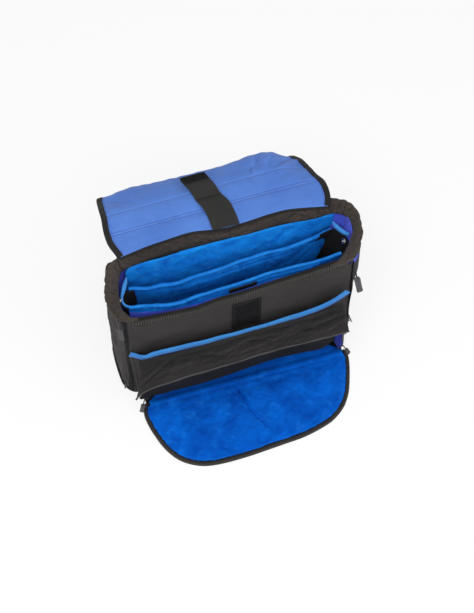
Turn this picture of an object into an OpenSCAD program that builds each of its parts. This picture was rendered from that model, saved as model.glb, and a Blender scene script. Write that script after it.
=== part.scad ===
// Soft messenger bag, standing open: main flap thrown back over the rear rim,
// padded dividers in the main compartment, and the round-cornered door of the
// front pocket lying on the ground.
// Millimetres. X is the width, +Y the back, +Z up. The origin is the middle of
// the main compartment's underside, on the ground.

/* [Body] */
// Outer width of the main compartment
body_w = 396; // [330:2:480]
// Outer depth of the main compartment
body_d = 106; // [88:2:140]
// Height of the rear rim, collar included
rim_h = 276; // [230:2:340]
// How far the front panel's edge lies below the rear rim
front_drop = 22; // [8:1:40]
// Thickness of the outer fabric walls
wall_t = 4; // [3:0.5:6]
// Thickness of the base
base_t = 5; // [4:0.5:8]
// Thickness of the stiff board that lies on the base
board_t = 2.7; // [1.5:0.1:4]

/* [Lining] */
// Foam layer of the back
foam_t = 4; // [2:0.5:6]
// Plush layer over the foam
plush_t = 5; // [3:0.5:7]
// Side lining thickness
lining_t = 3; // [2:0.5:4]
// Height of the plush on the back, from the ground
plush_h = 246; // [200:2:250]

/* [Collar] */
// Radius of the padded roll round the rim
collar_r = 8; // [6:0.5:10]
// How far the roll leans outwards
collar_lean = 8; // [4:1:12]
// How far the side rolls drop towards the front
collar_drop = 14; // [6:1:22]

/* [Dividers] */
// Thickness of the rear divider
rear_div_t = 8; // [5:0.5:10]
// Height of the rear divider's top edge
rear_div_h = 235; // [190:1:244]
// Gap between the back plush and the rear divider
rear_gap = 24; // [14:1:26]
// Thickness of the front divider
front_div_t = 7; // [5:0.5:8]
// Height of the front divider's top edge
front_div_h = 240; // [190:1:246]
// Gap between the front divider and the front panel
front_gap = 9; // [6:1:14]
// Thickness of the bellows at each end of the sleeve between the dividers
bellows_t = 3; // [2:0.5:4]
// How far the bellows stand in from the dividers' ends
bellows_in = 8; // [4:1:16]

/* [Front pocket] */
// Depth of the front pocket's floor
pocket_d = 30; // [22:1:40]
// Width of the slip pocket
slip_w = 364; // [300:2:370]
// Height of the slip pocket's bound edge
slip_h = 160; // [140:1:180]
// How far the slip pocket gapes at its mouth
slip_gape = 18; // [10:1:22]
// Slip pocket panel thickness
slip_t = 3; // [2:0.5:4]
// Height of the bright binding on the slip pocket
slip_band = 11; // [8:1:16]
// Height of the seam that the pocket roof hangs from
roof_z = 147; // [134:1:147]
// Length of the pocket roof from its seam to its front edge
roof_l = 46; // [38:1:52]
// Angle that the unsupported roof slumps below level
roof_slump = 39; // [30:1:44]
// Length of the lip that hangs from the roof's front edge
lip_l = 24; // [16:1:28]
// Thickness of the roof and lip
roof_t = 3; // [2:0.5:4]
// Thickness of the pocket's side gussets
gusset_t = 3; // [2:0.5:4]

/* [Door] */
// Width of the front pocket's door
door_w = 362; // [300:2:420]
// Length of the door from its hinge to its far edge
door_l = 141; // [118:1:150]
// Radius of the door's far corners
door_r = 84; // [40:2:100]
// Thickness of the door's outer shell
door_t = 4; // [3:0.5:5]
// Thickness of the door's plush pad
door_pad_t = 8; // [5:0.5:10]
// Width of the zip border round the plush pad
door_border = 15; // [10:1:20]
// Thickness of the zip on the door's border
door_zip_t = 2; // [1.5:0.5:3]
// Opening angle between the lying and the closed door
door_swing = 78; // [70:1:80]

/* [Flap] */
// Widest part of the flap
flap_w = 386; // [320:2:470]
// Width of the flap where it joins the rim
flap_root_w = 346; // [280:2:400]
// Width of the flap's free edge
flap_tip_w = 346; // [260:2:400]
// Thickness of the flap's outer shell
flap_shell_t = 2.5; // [1.5:0.5:3]
// Thickness of the flap's lining
flap_lining_t = 2.5; // [1.5:0.5:3]
// Length of the panel over the bag's top, to the fold seam
flap_top_l = 73; // [60:1:90]
// Length of the panel that turns over the front edge
flap_bend_l = 55; // [45:1:65]
// Length of the upper face panel
flap_face_l = 122; // [90:1:150]
// Length of the lower face panel
flap_tail_l = 116; // [80:1:146]
// Radius of the flap's free corners
flap_corner_r = 42; // [10:1:60]

/* [Strap] */
// Webbing width
strap_w = 49; // [38:1:60]
// Webbing thickness
strap_t = 2.5; // [1.5:0.5:3]
// Length of the strap's first stretch
strap_root_l = 54; // [44:1:60]
// Length of the strap's second stretch, up to its turned end
strap_end_l = 62; // [50:1:68]
// Length of the end that is folded back on the strap
strap_tail_l = 60; // [36:1:61]
// Sideways place of the strap's root
strap_x = 8; // [-40:1:40]
// How far the strap wanders sideways to its end
strap_wander = -18; // [-24:1:24]

/* [Fastenings] */
// Width of the hook and loop patches
patch_w = 50; // [30:1:70]
// Height of the patch on the front panel
patch_h = 84; // [40:1:86]
// How far the front panel's patch lies below its top edge
patch_drop = 38; // [20:1:50]
// Height of the patch on the divider
divider_patch_h = 38; // [20:1:60]
// Patch thickness
patch_t = 1.6; // [1:0.1:2.4]
// Width of the side zips' tape
tape_w = 26; // [18:1:32]
// Width of the zip teeth
teeth_w = 6; // [4:0.5:8]
// Length of the zips' grey pull tags
tag_l = 30; // [16:1:36]
// Diameter of the rim's snap studs
snap_d = 11; // [8:0.5:13]

/* [Hidden] */
$fn = 64;

// Colours
nylon = [0.13, 0.12, 0.11];
nylon_dark = [0.09, 0.09, 0.09];
webbing = [0.12, 0.12, 0.11];
plush = [0.05, 0.40, 0.85];
lining_blue = [0.38, 0.53, 0.85];
band_blue = [0.20, 0.55, 0.92];
tag_grey = [0.35, 0.35, 0.36];
zinc = [0.55, 0.55, 0.57];

// Clearance between pieces on different bodies, and between soft pieces that meet
gap = 0.3;

// Main compartment
half_w = body_w / 2;
front_y = -body_d / 2;
back_y = body_d / 2;
front_h = rim_h - front_drop;
inside_z = base_t + board_t + gap;
lining_x = half_w - wall_t - lining_t;
front_half_w = half_w - wall_t;
plush_y = back_y - wall_t - foam_t - plush_t;
collar_low_z = rim_h - 2 * collar_r - collar_lean;
collar_front_low_z = collar_low_z - collar_drop;
collar_y = back_y - wall_t / 2;
side_top_back = collar_low_z - gap;
side_top_front = collar_front_low_z - gap;
hem_h = 10;
hem_t = 2;
hem_half_w = half_w - wall_t / 2 - collar_r - gap;

// Dividers, by their front faces
rear_div_y = plush_y - rear_gap - rear_div_t;
front_div_y = front_y + wall_t + front_gap;
div_half_w = lining_x - 6;

// Front pocket: slip panel from its foot to its mouth, in Y and Z
slip_foot = [front_y - 6, base_t + gap];
slip_mouth = [front_y - slip_gape - slip_t - 1, slip_h];
slip_half_w = slip_w / 2;
slip_top_z = slip_h - slip_band;
binding_r = slip_t / 2 + 1;
door_axis = [front_y - pocket_d - 2, door_t];
door_half_w = door_w / 2;
gusset_x = door_half_w - 6;
roof_seam = [slip_line(roof_z) - slip_t / 2 - 1.2, roof_z];
roof_half_w = gusset_x;
roof_edge = roof_seam + roof_l * heading(180 + roof_slump);
roof_piping_d = 4;
lip_half_w = roof_half_w - 4;
lip_r = 12;

// Flap: each panel's angle above level at rest, going back from the rim, and
// its angle when the flap is closed over the front
flap_t = flap_shell_t + flap_lining_t;
flap_start = [back_y + 4, rim_h + flap_t / 2 + 2 * gap];
flap_rest = [7, -22, -87, -76];
flap_closed = [172, 204, 240, 262];
flap_len = [flap_top_l, flap_bend_l, flap_face_l, flap_tail_l];
flap_width = [flap_w, flap_w - 12, flap_w - 26, flap_tip_w];
flap_flare = 28;

// The flap and the strap both turn about this axis, which lies between them
rim_axis = flap_start + [0, flap_t / 2 + gap];

// Strap: the same, with its turned end lying back on its second stretch
strap_start = rim_axis + [0, strap_t / 2 + gap];
strap_rest = [10, 0];
strap_mid_x = strap_x + 2;
strap_end_x = strap_x + strap_wander;

// Side zips: places of the sliders, [left, right]
zip_y = front_y + 11;
zip_low_z = 14;
zip_high_z = collar_front_low_z - 2;
upper_slider_z = [zip_high_z - 10, zip_high_z - 40];
lower_slider_z = [zip_low_z + 8, zip_low_z + 28];
tape_t = 1.2;
teeth_t = 1.6;
slider_w = 9;
slider_h = 13;
slider_t = 3.4;
pin_r = 0.9;
tongue_w = 6;
tongue_t = 1.6;
tongue_l = 13;
door_slider_z = 20;

// Unit vector in the YZ plane at an angle above +Y
function heading(a) = [cos(a), sin(a)];

// Y of the slip panel's middle surface at height z
function slip_line(z) = slip_foot[0] + (slip_mouth[0] - slip_foot[0])
  * (z - slip_foot[1]) / (slip_mouth[1] - slip_foot[1]);

// Point of the flap's middle line after the first n panels, at rest
function flap_point(n) = n == 0 ? flap_start
  : flap_point(n - 1) + flap_len[n - 1] * heading(flap_rest[n - 1]);

// Bend of fold n, between panels n - 1 and n, at rest and closed
function bend_rest(n) = abs(flap_rest[n] - flap_rest[n - 1]);
function bend_closed(n) = abs(flap_closed[n] - flap_closed[n - 1]);

// Room that each panel leaves at fold n so that its corners never meet
function fold_room(n) = n == 0 || n == 4 ? 0
  : flap_t / 2 * tan(max(bend_rest(n), bend_closed(n)) / 2) + 0.2;

// A box from its low corner to its high corner
module block(low, high) {
  translate(low) cube(high - low);
}

// An outline drawn in Y and Z, given a width along X
module across(x_low, x_high) {
  translate([x_low, 0, 0]) rotate([90, 0, 90]) linear_extrude(x_high - x_low) children();
}

// An outline drawn in X and along a line in the YZ plane, from a point at an
// angle above +Y, between two depths measured square to that line
module sheet(point, angle, low, high) {
  translate([0, point[0], point[1]]) rotate([angle, 0, 0])
    translate([0, 0, low]) linear_extrude(high - low) children();
}

// A rod with round ends, in 2D
module capsule(p, q, r) {
  steps = 12;
  lie = atan2(q[1] - p[1], q[0] - p[0]);
  polygon([for (end = [0, 1], i = [0:steps])
    (end == 0 ? p : q) + r * heading(lie + 90 + 180 * end + 180 * i / steps)]);
}

// A rectangle with rounded far corners, its near edge on Y = 0, in 2D
module d_outline(half_w, length, r) {
  intersection() {
    translate([-half_w, 0]) square([2 * half_w, length]);
    union() {
      translate([-half_w, -r]) square([2 * half_w, length]);
      translate([-half_w + r, 0]) square([2 * (half_w - r), length]);
      for (side = [-1, 1]) translate([side * (half_w - r), length - r]) circle(r);
    }
  }
}

// The left piece is the mirror of the right one
module on_side(side) {
  if (side == "left") mirror([1, 0, 0]) children();
  else children();
}

// ---- Main compartment ----

module base_panel() color(nylon)
  difference() {
    block([-half_w, front_y, 0], [half_w, back_y, base_t]);
    for (sx = [-1, 1], sy = [-1, 1])
      translate([sx * half_w, sy * body_d / 2, -1]) rotate(45)
        cube([16, 16, 3 * base_t], center = true);
  }

module base_board() color(nylon_dark)
  block([-lining_x + 2, front_y + wall_t + 2, base_t],
        [lining_x - 2, plush_y + plush_t + foam_t - 2, base_t + board_t]);

module back_panel() color(nylon)
  block([-half_w, back_y - wall_t, base_t], [half_w, back_y, side_top_back]);

module back_foam() color(nylon_dark)
  block([-lining_x, back_y - wall_t - foam_t, inside_z], [lining_x, back_y - wall_t, plush_h - 4]);

module back_lining() color(plush)
  block([-lining_x, plush_y, inside_z], [lining_x, back_y - wall_t - foam_t, plush_h]);

// Its top corners drop to make room for the collar
module front_panel() color(nylon) {
  block([-front_half_w, front_y, base_t], [front_half_w, front_y + wall_t, side_top_front]);
  block([-hem_half_w, front_y, base_t], [hem_half_w, front_y + wall_t, front_h - hem_h]);
}

module front_hem() color(nylon_dark)
  difference() {
    across(-hem_half_w, hem_half_w)
      capsule([front_y + wall_t / 2, front_h - 1.6 * hem_h],
              [front_y + wall_t / 2, front_h - wall_t / 2 - hem_t], wall_t / 2 + hem_t);
    block([-half_w, front_y - gap, 0], [half_w, front_y + wall_t + gap, front_h - hem_h]);
  }

module front_patch() color(nylon_dark)
  block([strap_x - patch_w / 2, front_y - patch_t, front_h - patch_drop - patch_h],
        [strap_x + patch_w / 2, front_y, front_h - patch_drop]);

module side_panel(side) color(nylon)
  on_side(side) across(half_w - wall_t, half_w)
    polygon([[front_y, base_t], [back_y - wall_t, base_t],
             [back_y - wall_t, side_top_back], [front_y, side_top_front]]);

module side_lining(side) color(lining_blue)
  on_side(side) across(lining_x, half_w - wall_t)
    polygon([[front_y + wall_t, inside_z], [plush_y + plush_t + foam_t, inside_z],
             [plush_y + plush_t + foam_t, side_top_back], [front_y + wall_t, side_top_front]]);

// Cross-section of the padded roll, standing on its lowest point
module collar_section() {
  capsule([0, collar_r], [collar_lean, collar_r + collar_lean], collar_r);
}

module collar_back() color(nylon)
  translate([0, collar_y, collar_low_z])
    across(-half_w - collar_lean, half_w + collar_lean) collar_section();

module collar_side(side) color(nylon) {
  run = body_d / 2 + collar_y - collar_r - gap;
  on_side(side) translate([half_w - wall_t / 2, collar_y - collar_r - gap, collar_low_z])
    difference() {
      rotate([atan2(collar_drop, run), 0, 0]) translate([0, 4, 0]) rotate([90, 0, 0])
        linear_extrude(run + 4) collar_section();
      block([-collar_r - 4, 0, -collar_r], [2 * collar_r + collar_lean, 12, 4 * collar_r]);
    }
}

module rim_snaps() color(zinc)
  for (side = ["left", "right"]) on_side(side)
    translate([lining_x - gap, front_y + body_d / 3, collar_front_low_z - snap_d / 2])
      rotate([0, -90, 0]) {
        cylinder(d = snap_d, h = 1.4);
        cylinder(d = snap_d / 2, h = 3);
      }

module padded_divider(low_y, thickness, height) color(plush)
  across(-div_half_w, div_half_w)
    capsule([low_y + thickness / 2, inside_z + thickness / 2],
            [low_y + thickness / 2, height - thickness / 2], thickness / 2);

module divider_rear() padded_divider(rear_div_y, rear_div_t, rear_div_h);
module divider_front() padded_divider(front_div_y, front_div_t, front_div_h);

module divider_patch() color(nylon_dark)
  block([strap_x - patch_w / 2, front_div_y - patch_t, front_div_h - 6 - divider_patch_h],
        [strap_x + patch_w / 2, front_div_y, front_div_h - 6]);

module bellows(side) color(nylon_dark)
  on_side(side)
    block([div_half_w - bellows_in - bellows_t, front_div_y + front_div_t + gap, inside_z],
          [div_half_w - bellows_in, rear_div_y - gap, rear_div_h - 6]);

// ---- Front pocket ----

module slip_panel() color(nylon)
  across(-slip_half_w, slip_half_w)
    polygon([slip_foot + [-slip_t / 2, 0], slip_foot + [slip_t / 2, 0],
             [slip_line(slip_top_z) + slip_t / 2, slip_top_z],
             [slip_line(slip_top_z) - slip_t / 2, slip_top_z]]);

module slip_binding() color(band_blue)
  across(-slip_half_w - 2, slip_half_w + 2)
    capsule([slip_line(slip_top_z), slip_top_z + binding_r + gap],
            slip_mouth - [0, binding_r], binding_r);

module pocket_floor() color(nylon)
  block([-door_half_w, door_axis[0] + gap, 0], [door_half_w, front_y, base_t - 1]);

module pocket_gusset(side) color(nylon) {
  low_z = base_t - 1 + gap;
  high_z = roof_z - 14;
  mid_z = (low_z + high_z) * 0.62;
  lean = tan(90 - door_swing);
  foot_y = door_axis[0] + door_t + door_zip_t;
  on_side(side) across(gusset_x - gusset_t, gusset_x)
    polygon([[slip_line(low_z) - slip_t / 2 - gap, low_z], [foot_y, low_z],
             [foot_y - lean * (mid_z - low_z), mid_z],
             [slip_line(high_z) - slip_t / 2 - gap - 2, high_z],
             [slip_line(high_z) - slip_t / 2 - gap, high_z]]);
}

module pocket_roof() color(nylon)
  sheet(roof_seam, 180 + roof_slump, -roof_t / 2, roof_t / 2)
    translate([-roof_half_w, 0]) square([2 * roof_half_w, roof_l - roof_piping_d / 2]);

module roof_piping() color(nylon_dark)
  translate([0, roof_edge[0], roof_edge[1]]) rotate([0, 90, 0])
    cylinder(d = roof_piping_d, h = 2 * roof_half_w, center = true);

module pocket_lip() color(nylon_dark)
  sheet(roof_edge - [0, roof_piping_d / 2 + gap], 270, -roof_t / 2, roof_t / 2)
    d_outline(lip_half_w, lip_l, lip_r);

// ---- Door of the front pocket ----

module door_outline(inset) {
  mirror([0, 1]) translate([0, -door_axis[0]])
    d_outline(door_half_w - inset, door_l - inset, door_r - inset);
}

module door_shell() color(nylon)
  linear_extrude(door_t) door_outline(0);

module door_pad() color(plush)
  translate([0, 0, door_t]) difference() {
    linear_extrude(door_pad_t) door_outline(door_border);
    block([-door_half_w, door_axis[0] - 8, -1], [door_half_w, door_axis[0] + 1, door_pad_t + 1]);
  }

module door_zip() color(nylon_dark)
  translate([0, 0, door_t]) linear_extrude(door_zip_t) difference() {
    door_outline(1.5);
    door_outline(door_border - 1.5);
    translate([-door_half_w, door_axis[0] - 12]) square([door_w, 14]);
  }

// ---- Flap ----

// Outline of panel n: its near edge, its far edge and what the folds take off
module flap_outline(n) {
  near_w = n == 0 ? flap_root_w / 2 : flap_width[n - 1] / 2;
  far_w = flap_width[n] / 2;
  near = fold_room(n);
  far = flap_len[n] - fold_room(n + 1);
  if (n == 0)
    polygon([[-near_w, 0], [near_w, 0], [far_w, flap_flare],
             [far_w, far], [-far_w, far], [-far_w, flap_flare]]);
  else if (n == 3)
    intersection() {
      polygon([[-near_w, near], [near_w, near], [far_w, far], [-far_w, far]]);
      d_outline(near_w, far, flap_corner_r);
    }
  else
    polygon([[-near_w, near], [near_w, near], [far_w, far], [-far_w, far]]);
}

module flap_shell(n) color(nylon)
  sheet(flap_point(n), flap_rest[n], -flap_t / 2, -flap_t / 2 + flap_shell_t) flap_outline(n);

module flap_lining(n) color(lining_blue)
  sheet(flap_point(n), flap_rest[n], flap_t / 2 - flap_lining_t, flap_t / 2) flap_outline(n);

// ---- Strap ----

strap_knee = strap_start + strap_root_l * heading(strap_rest[0]);
strap_turn = strap_knee + strap_end_l * heading(strap_rest[1]);
// Height of the turned end above the strap's middle
tail_lift = strap_t + 1.4 + gap;

// Outline of a stretch of webbing that runs from one sideways place to another
module webbing_outline(x_near, x_far, near, far) {
  polygon([[x_near - strap_w / 2, near], [x_near + strap_w / 2, near],
           [x_far + strap_w / 2, far], [x_far - strap_w / 2, far]]);
}

module strap_root() color(webbing)
  sheet(strap_start, strap_rest[0], -strap_t / 2, strap_t / 2)
    webbing_outline(strap_x, strap_mid_x, 0, strap_root_l - 0.4);

module strap_end() color(webbing)
  sheet(strap_knee, strap_rest[1], -strap_t / 2, strap_t / 2)
    webbing_outline(strap_mid_x, strap_end_x, 0.4, strap_end_l - 1);

module strap_tail() color(webbing)
  sheet(strap_turn + [0, tail_lift], 180, -strap_t / 2, strap_t / 2)
    webbing_outline(strap_end_x, strap_mid_x, 1, strap_tail_l);

module strap_hook_pad() color(nylon_dark)
  sheet(strap_turn + [0, tail_lift], 180, strap_t / 2, strap_t / 2 + 1.2)
    translate([strap_mid_x - strap_w / 2 + 2 + (strap_end_x - strap_mid_x) * 0.3, 12])
      square([strap_w - 4 - abs(strap_wander) * 0.35, strap_tail_l - 16]);

// ---- Zips ----

module side_zip(side) on_side(side) {
  color(nylon_dark)
    block([half_w, zip_y - tape_w / 2, zip_low_z],
          [half_w + tape_t, zip_y + tape_w / 2, zip_high_z]);
  color(zinc)
    block([half_w + tape_t, zip_y - teeth_w / 2, zip_low_z + 4],
          [half_w + tape_t + teeth_t, zip_y + teeth_w / 2, zip_high_z - 4]);
}

// A slider facing +X, with two ears that hold the pull's pin
module slider_body() color(zinc) {
  linear_extrude(slider_h, center = true)
    translate([0, -slider_w / 2]) square([slider_t, slider_w]);
  for (side = [-1, 1]) translate([slider_t, side * (tongue_w / 2 + 0.9), 0]) rotate([90, 0, 0])
    linear_extrude(1.2, center = true) difference() {
      translate([-1, -3]) square([5, 6]);
      translate([2, 0]) circle(pin_r + 0.15);
    }
}

// A pull hanging from its pin, the pin along Y
module pull_body(with_tag) {
  color(zinc) {
    rotate([90, 0, 0]) cylinder(r = pin_r, h = tongue_w + 3.2, center = true);
    block([-tongue_t / 2, -tongue_w / 2, -tongue_l], [tongue_t / 2, tongue_w / 2, 0]);
  }
  if (with_tag) color(tag_grey)
    block([-1.6, -4.5, -tongue_l - tag_l + 4], [1.6, 4.5, -tongue_l + 4]);
}

slider_x = half_w + tape_t + teeth_t + gap;
pin_x = slider_x + slider_t + 2;

module zip_slider(side, z) on_side(side) translate([slider_x, zip_y, z]) slider_body();
module zip_pull(side, z, with_tag) on_side(side) translate([pin_x, zip_y, z]) pull_body(with_tag);

door_slider_x = gusset_x + gap;
door_slider_y = door_axis[0] + door_t + door_zip_t + slider_w / 2 - 2;
module door_slider(side) on_side(side) translate([door_slider_x, door_slider_y, door_slider_z]) slider_body();
module door_pull(side) on_side(side)
  translate([door_slider_x + slider_t + 2, door_slider_y, door_slider_z]) pull_body(false);

base_panel();
base_board();
back_panel();
back_foam();
back_lining();
front_panel();
front_hem();
front_patch();
side_panel("left");  // side_panel_left
side_panel("right");  // side_panel_right
side_lining("left");  // side_lining_left
side_lining("right");  // side_lining_right
collar_back();
collar_side("left");  // collar_left
collar_side("right");  // collar_right
rim_snaps();
divider_rear();
divider_front();
divider_patch();
bellows("left");  // bellows_left
bellows("right");  // bellows_right
slip_panel();
slip_binding();
pocket_floor();
pocket_gusset("left");  // pocket_gusset_left
pocket_gusset("right");  // pocket_gusset_right
side_zip("left");  // side_zip_left
side_zip("right");  // side_zip_right
zip_slider("left", upper_slider_z[0]);  // slider_left_upper
zip_slider("left", lower_slider_z[0]);  // slider_left_lower
zip_slider("right", upper_slider_z[1]);  // slider_right_upper
zip_slider("right", lower_slider_z[1]);  // slider_right_lower
zip_pull("left", upper_slider_z[0], true);  // pull_left_upper
zip_pull("left", lower_slider_z[0], false);  // pull_left_lower
zip_pull("right", upper_slider_z[1], true);  // pull_right_upper
zip_pull("right", lower_slider_z[1], false);  // pull_right_lower
door_slider("left");  // door_slider_left
door_slider("right");  // door_slider_right
door_pull("left");  // door_pull_left
door_pull("right");  // door_pull_right
door_shell();
door_pad();
door_zip();
pocket_roof();
roof_piping();
pocket_lip();
flap_shell(0);  // flap_top_shell
flap_lining(0);  // flap_top_lining
flap_shell(1);  // flap_bend_shell
flap_lining(1);  // flap_bend_lining
flap_shell(2);  // flap_face_shell
flap_lining(2);  // flap_face_lining
flap_shell(3);  // flap_tail_shell
flap_lining(3);  // flap_tail_lining
strap_root();
strap_end();
strap_tail();
strap_hook_pad();
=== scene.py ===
import math
import bpy
import numpy as np
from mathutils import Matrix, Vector
from mathutils.geometry import delaunay_2d_cdt


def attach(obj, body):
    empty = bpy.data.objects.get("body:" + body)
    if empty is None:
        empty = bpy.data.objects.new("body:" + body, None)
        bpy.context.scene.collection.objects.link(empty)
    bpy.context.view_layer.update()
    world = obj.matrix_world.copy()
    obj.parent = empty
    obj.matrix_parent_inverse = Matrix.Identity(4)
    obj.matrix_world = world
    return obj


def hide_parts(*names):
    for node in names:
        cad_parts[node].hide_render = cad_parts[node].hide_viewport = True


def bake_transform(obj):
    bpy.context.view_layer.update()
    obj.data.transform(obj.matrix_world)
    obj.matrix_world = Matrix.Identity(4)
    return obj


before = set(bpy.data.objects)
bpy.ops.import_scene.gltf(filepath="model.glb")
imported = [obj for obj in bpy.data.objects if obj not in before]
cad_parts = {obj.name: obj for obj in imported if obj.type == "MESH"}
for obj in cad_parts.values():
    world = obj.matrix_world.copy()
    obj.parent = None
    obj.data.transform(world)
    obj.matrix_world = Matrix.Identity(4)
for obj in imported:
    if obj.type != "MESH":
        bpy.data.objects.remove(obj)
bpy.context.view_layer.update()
scene = bpy.context.scene
scene.view_settings.view_transform = "Standard"
mm = 0.001
print("frame loaded,", len(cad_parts), "nodes")

# Camera, angles in degrees and lengths in metres
cameraSet = {"azimuth": -17.2,
             "elevation": 58.1,
             "distance": 2.719,
             "lookAt": (0.001, -0.029, 0.157),
             "lens": 94.0}


def makeCamera(c):
    data = bpy.data.cameras.new("camera")
    data.lens, data.sensor_width = c["lens"], 36
    data.clip_start, data.clip_end = 0.1, 50
    camera = bpy.data.objects.new("camera", data)
    a, e = math.radians(c["azimuth"]), math.radians(c["elevation"])
    back = Vector((math.sin(a) * math.cos(e), -math.cos(a) * math.cos(e), math.sin(e)))
    camera.location = Vector(c["lookAt"]) + back * c["distance"]
    camera.rotation_mode = "QUATERNION"
    camera.rotation_quaternion = (-back).to_track_quat("-Z", "Y")
    scene.collection.objects.link(camera)
    scene.camera = camera


makeCamera(cameraSet)

# Helpers for the finishes


def shade(r, g, b):  # a colour as a screen shows it, on the shader's scale
    return tuple((c / 255 / 12.92) if c < 10 else ((c / 255 + 0.055) / 1.055) ** 2.4
                 for c in (r, g, b)) + (1.0,)


def plug(tree, made, inputs):  # a socket is linked, anything else is set
    for key, value in inputs.items():
        if isinstance(value, bpy.types.NodeSocket):
            tree.links.new(value, made.inputs[key])
        else:
            made.inputs[key].default_value = value
    return made


def node(tree, kind, inputs=None, **settings):
    made = tree.nodes.new(kind)
    for key, value in settings.items():
        setattr(made, key, value)
    return plug(tree, made, inputs or {})


def calc(tree, operation, a, b=None):
    given = {i: v for i, v in enumerate((a, b)) if v is not None}
    return node(tree, "ShaderNodeMath", given, operation=operation).outputs[0]


def times(tree, a, b):
    return calc(tree, "MULTIPLY", a, b)


def plus(tree, a, b):
    return calc(tree, "ADD", a, b)


def mixColour(tree, factor, a, b):
    return node(tree, "ShaderNodeMix", {0: factor, 6: a, 7: b}, data_type="RGBA",
                blend_type="MIX").outputs[2]


def remap(tree, value, *ends):  # ends: from low, from high, to low, to high
    return node(tree, "ShaderNodeMapRange", dict(enumerate((value, *ends)))).outputs[0]


def noise(tree, vector, size, detail, per=1.0, **more):  # size: length of one patch
    return node(tree, "ShaderNodeTexNoise", {
        "Vector": vector, "Detail": detail, "Scale": calc(tree, "DIVIDE", per, size),
        **more}).outputs[0]


def bump(tree, height, distance, **more):
    return node(tree, "ShaderNodeBump", {"Height": height, "Distance": distance, **more}).outputs[0]


def groupTree(name, inputs, outputs):
    tree = bpy.data.node_groups.new(name, "ShaderNodeTree")
    for label, value in {"Vector": None, **inputs}.items():
        kind = "NodeSocketVector" if value is None else "NodeSocketFloat"
        made = tree.interface.new_socket(label, in_out="INPUT", socket_type=kind)
        if value is not None:
            made.default_value = value
    for label in outputs:
        tree.interface.new_socket(label, in_out="OUTPUT", socket_type="NodeSocketFloat")
    return tree, tree.nodes.new("NodeGroupInput").outputs, tree.nodes.new("NodeGroupOutput")


def placeGroup(tree, name, vector, inputs):
    made = tree.nodes.new("ShaderNodeGroup")
    made.node_tree = bpy.data.node_groups[name]
    return plug(tree, made, {"Vector": vector, **inputs}).outputs


def makeWeaveGroup():
    # Over and under threads of a plain weave, with uneven yarn
    tree, given, out = groupTree("weaveGrain", {"Thread": 0.0006, "Slub": 0.3}, ["Height", "Shade"])
    scale = calc(tree, "DIVIDE", 1.0, given["Thread"])
    grown = node(tree, "ShaderNodeVectorMath", {0: given["Vector"], "Scale": scale},
                 operation="SCALE")
    xy = node(tree, "ShaderNodeSeparateXYZ", {0: grown.outputs[0]}).outputs[:2]
    ridge = [calc(tree, "ABSOLUTE", calc(tree, "SINE", times(tree, k, math.pi))) for k in xy]
    cell = [calc(tree, "FLOOR", k) for k in xy]
    over = calc(tree, "MODULO", calc(tree, "ABSOLUTE", plus(tree, *cell)), 2.0)
    thread = plus(tree, times(tree, ridge[0], over),
                  times(tree, ridge[1], calc(tree, "SUBTRACT", 1.0, over)))
    drawn = node(tree, "ShaderNodeCombineXYZ", {0: times(tree, xy[0], 0.9),
                                                1: times(tree, xy[1], 0.06)})
    yarn = node(tree, "ShaderNodeTexNoise", {"Vector": drawn.outputs[0], "Scale": 1.0,
                                             "Detail": 2.0})
    uneven = times(tree, yarn.outputs[0], given["Slub"])
    plug(tree, out, {"Height": plus(tree, thread, uneven),
                     "Shade": plus(tree, times(tree, thread, 0.5), uneven)})


def makePileGroup():
    # Short plush pile: fine tufts, and the larger marks where it was brushed
    tree, given, out = groupTree("pileNap", {"Tuft": 0.0016, "Brush": 0.02},
                                 ["Height", "Nap", "Fleck"])
    tuft = noise(tree, given["Vector"], given["Tuft"], 3.0, Roughness=0.65)
    brush = noise(tree, given["Vector"], given["Brush"], 4.0, Roughness=0.6, Distortion=0.7)
    lock = noise(tree, given["Vector"], given["Brush"], 2.0, 3.4, Distortion=0.3)
    plug(tree, out, {"Height": plus(tree, tuft, times(tree, lock, 0.7)),
                     "Nap": remap(tree, brush, 0.32, 0.66, 0.0, 1.0),
                     "Fleck": remap(tree, lock, 0.56, 0.74, 0.0, 1.0)})


def makeDriftGroup():
    # Slow change of tone over a piece, and small crumples that are too fine for its mesh
    tree, given, out = groupTree("toneDrift", {"Patch": 0.06, "Crumple": 0.012},
                                 ["Tone", "Crumples"])
    slow = noise(tree, given["Vector"], given["Patch"], 3.0)
    small = noise(tree, given["Vector"], given["Crumple"], 2.0, Distortion=0.7)
    plug(tree, out, {"Tone": remap(tree, slow, 0.3, 0.7, 0.0, 1.0), "Crumples": small})


def makeWearAndShadeGroup():
    # Rubbed high edges, broken up by noise, and painted shade in the hollows of folds
    tree, given, out = groupTree("edgeWearAndHollowShade", {"Grain": 0.004}, ["Mask", "PaintedHollowShade"])
    pointed = node(tree, "ShaderNodeNewGeometry").outputs["Pointiness"]
    broken = remap(tree, noise(tree, given["Vector"], given["Grain"], 4.0), 0.35, 0.65, 0.2, 1.0)
    # Hollow: painted shade, darker where the surface is hollow
    plug(tree, out, {"Mask": times(tree, remap(tree, pointed, 0.51, 0.6, 0.0, 1.0), broken),
                     "PaintedHollowShade": remap(tree, pointed, 0.492, 0.44, 0.0, 1.0)})


for makeGroup in (makeWeaveGroup, makePileGroup, makeDriftGroup, makeWearAndShadeGroup):
    makeGroup()

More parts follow.
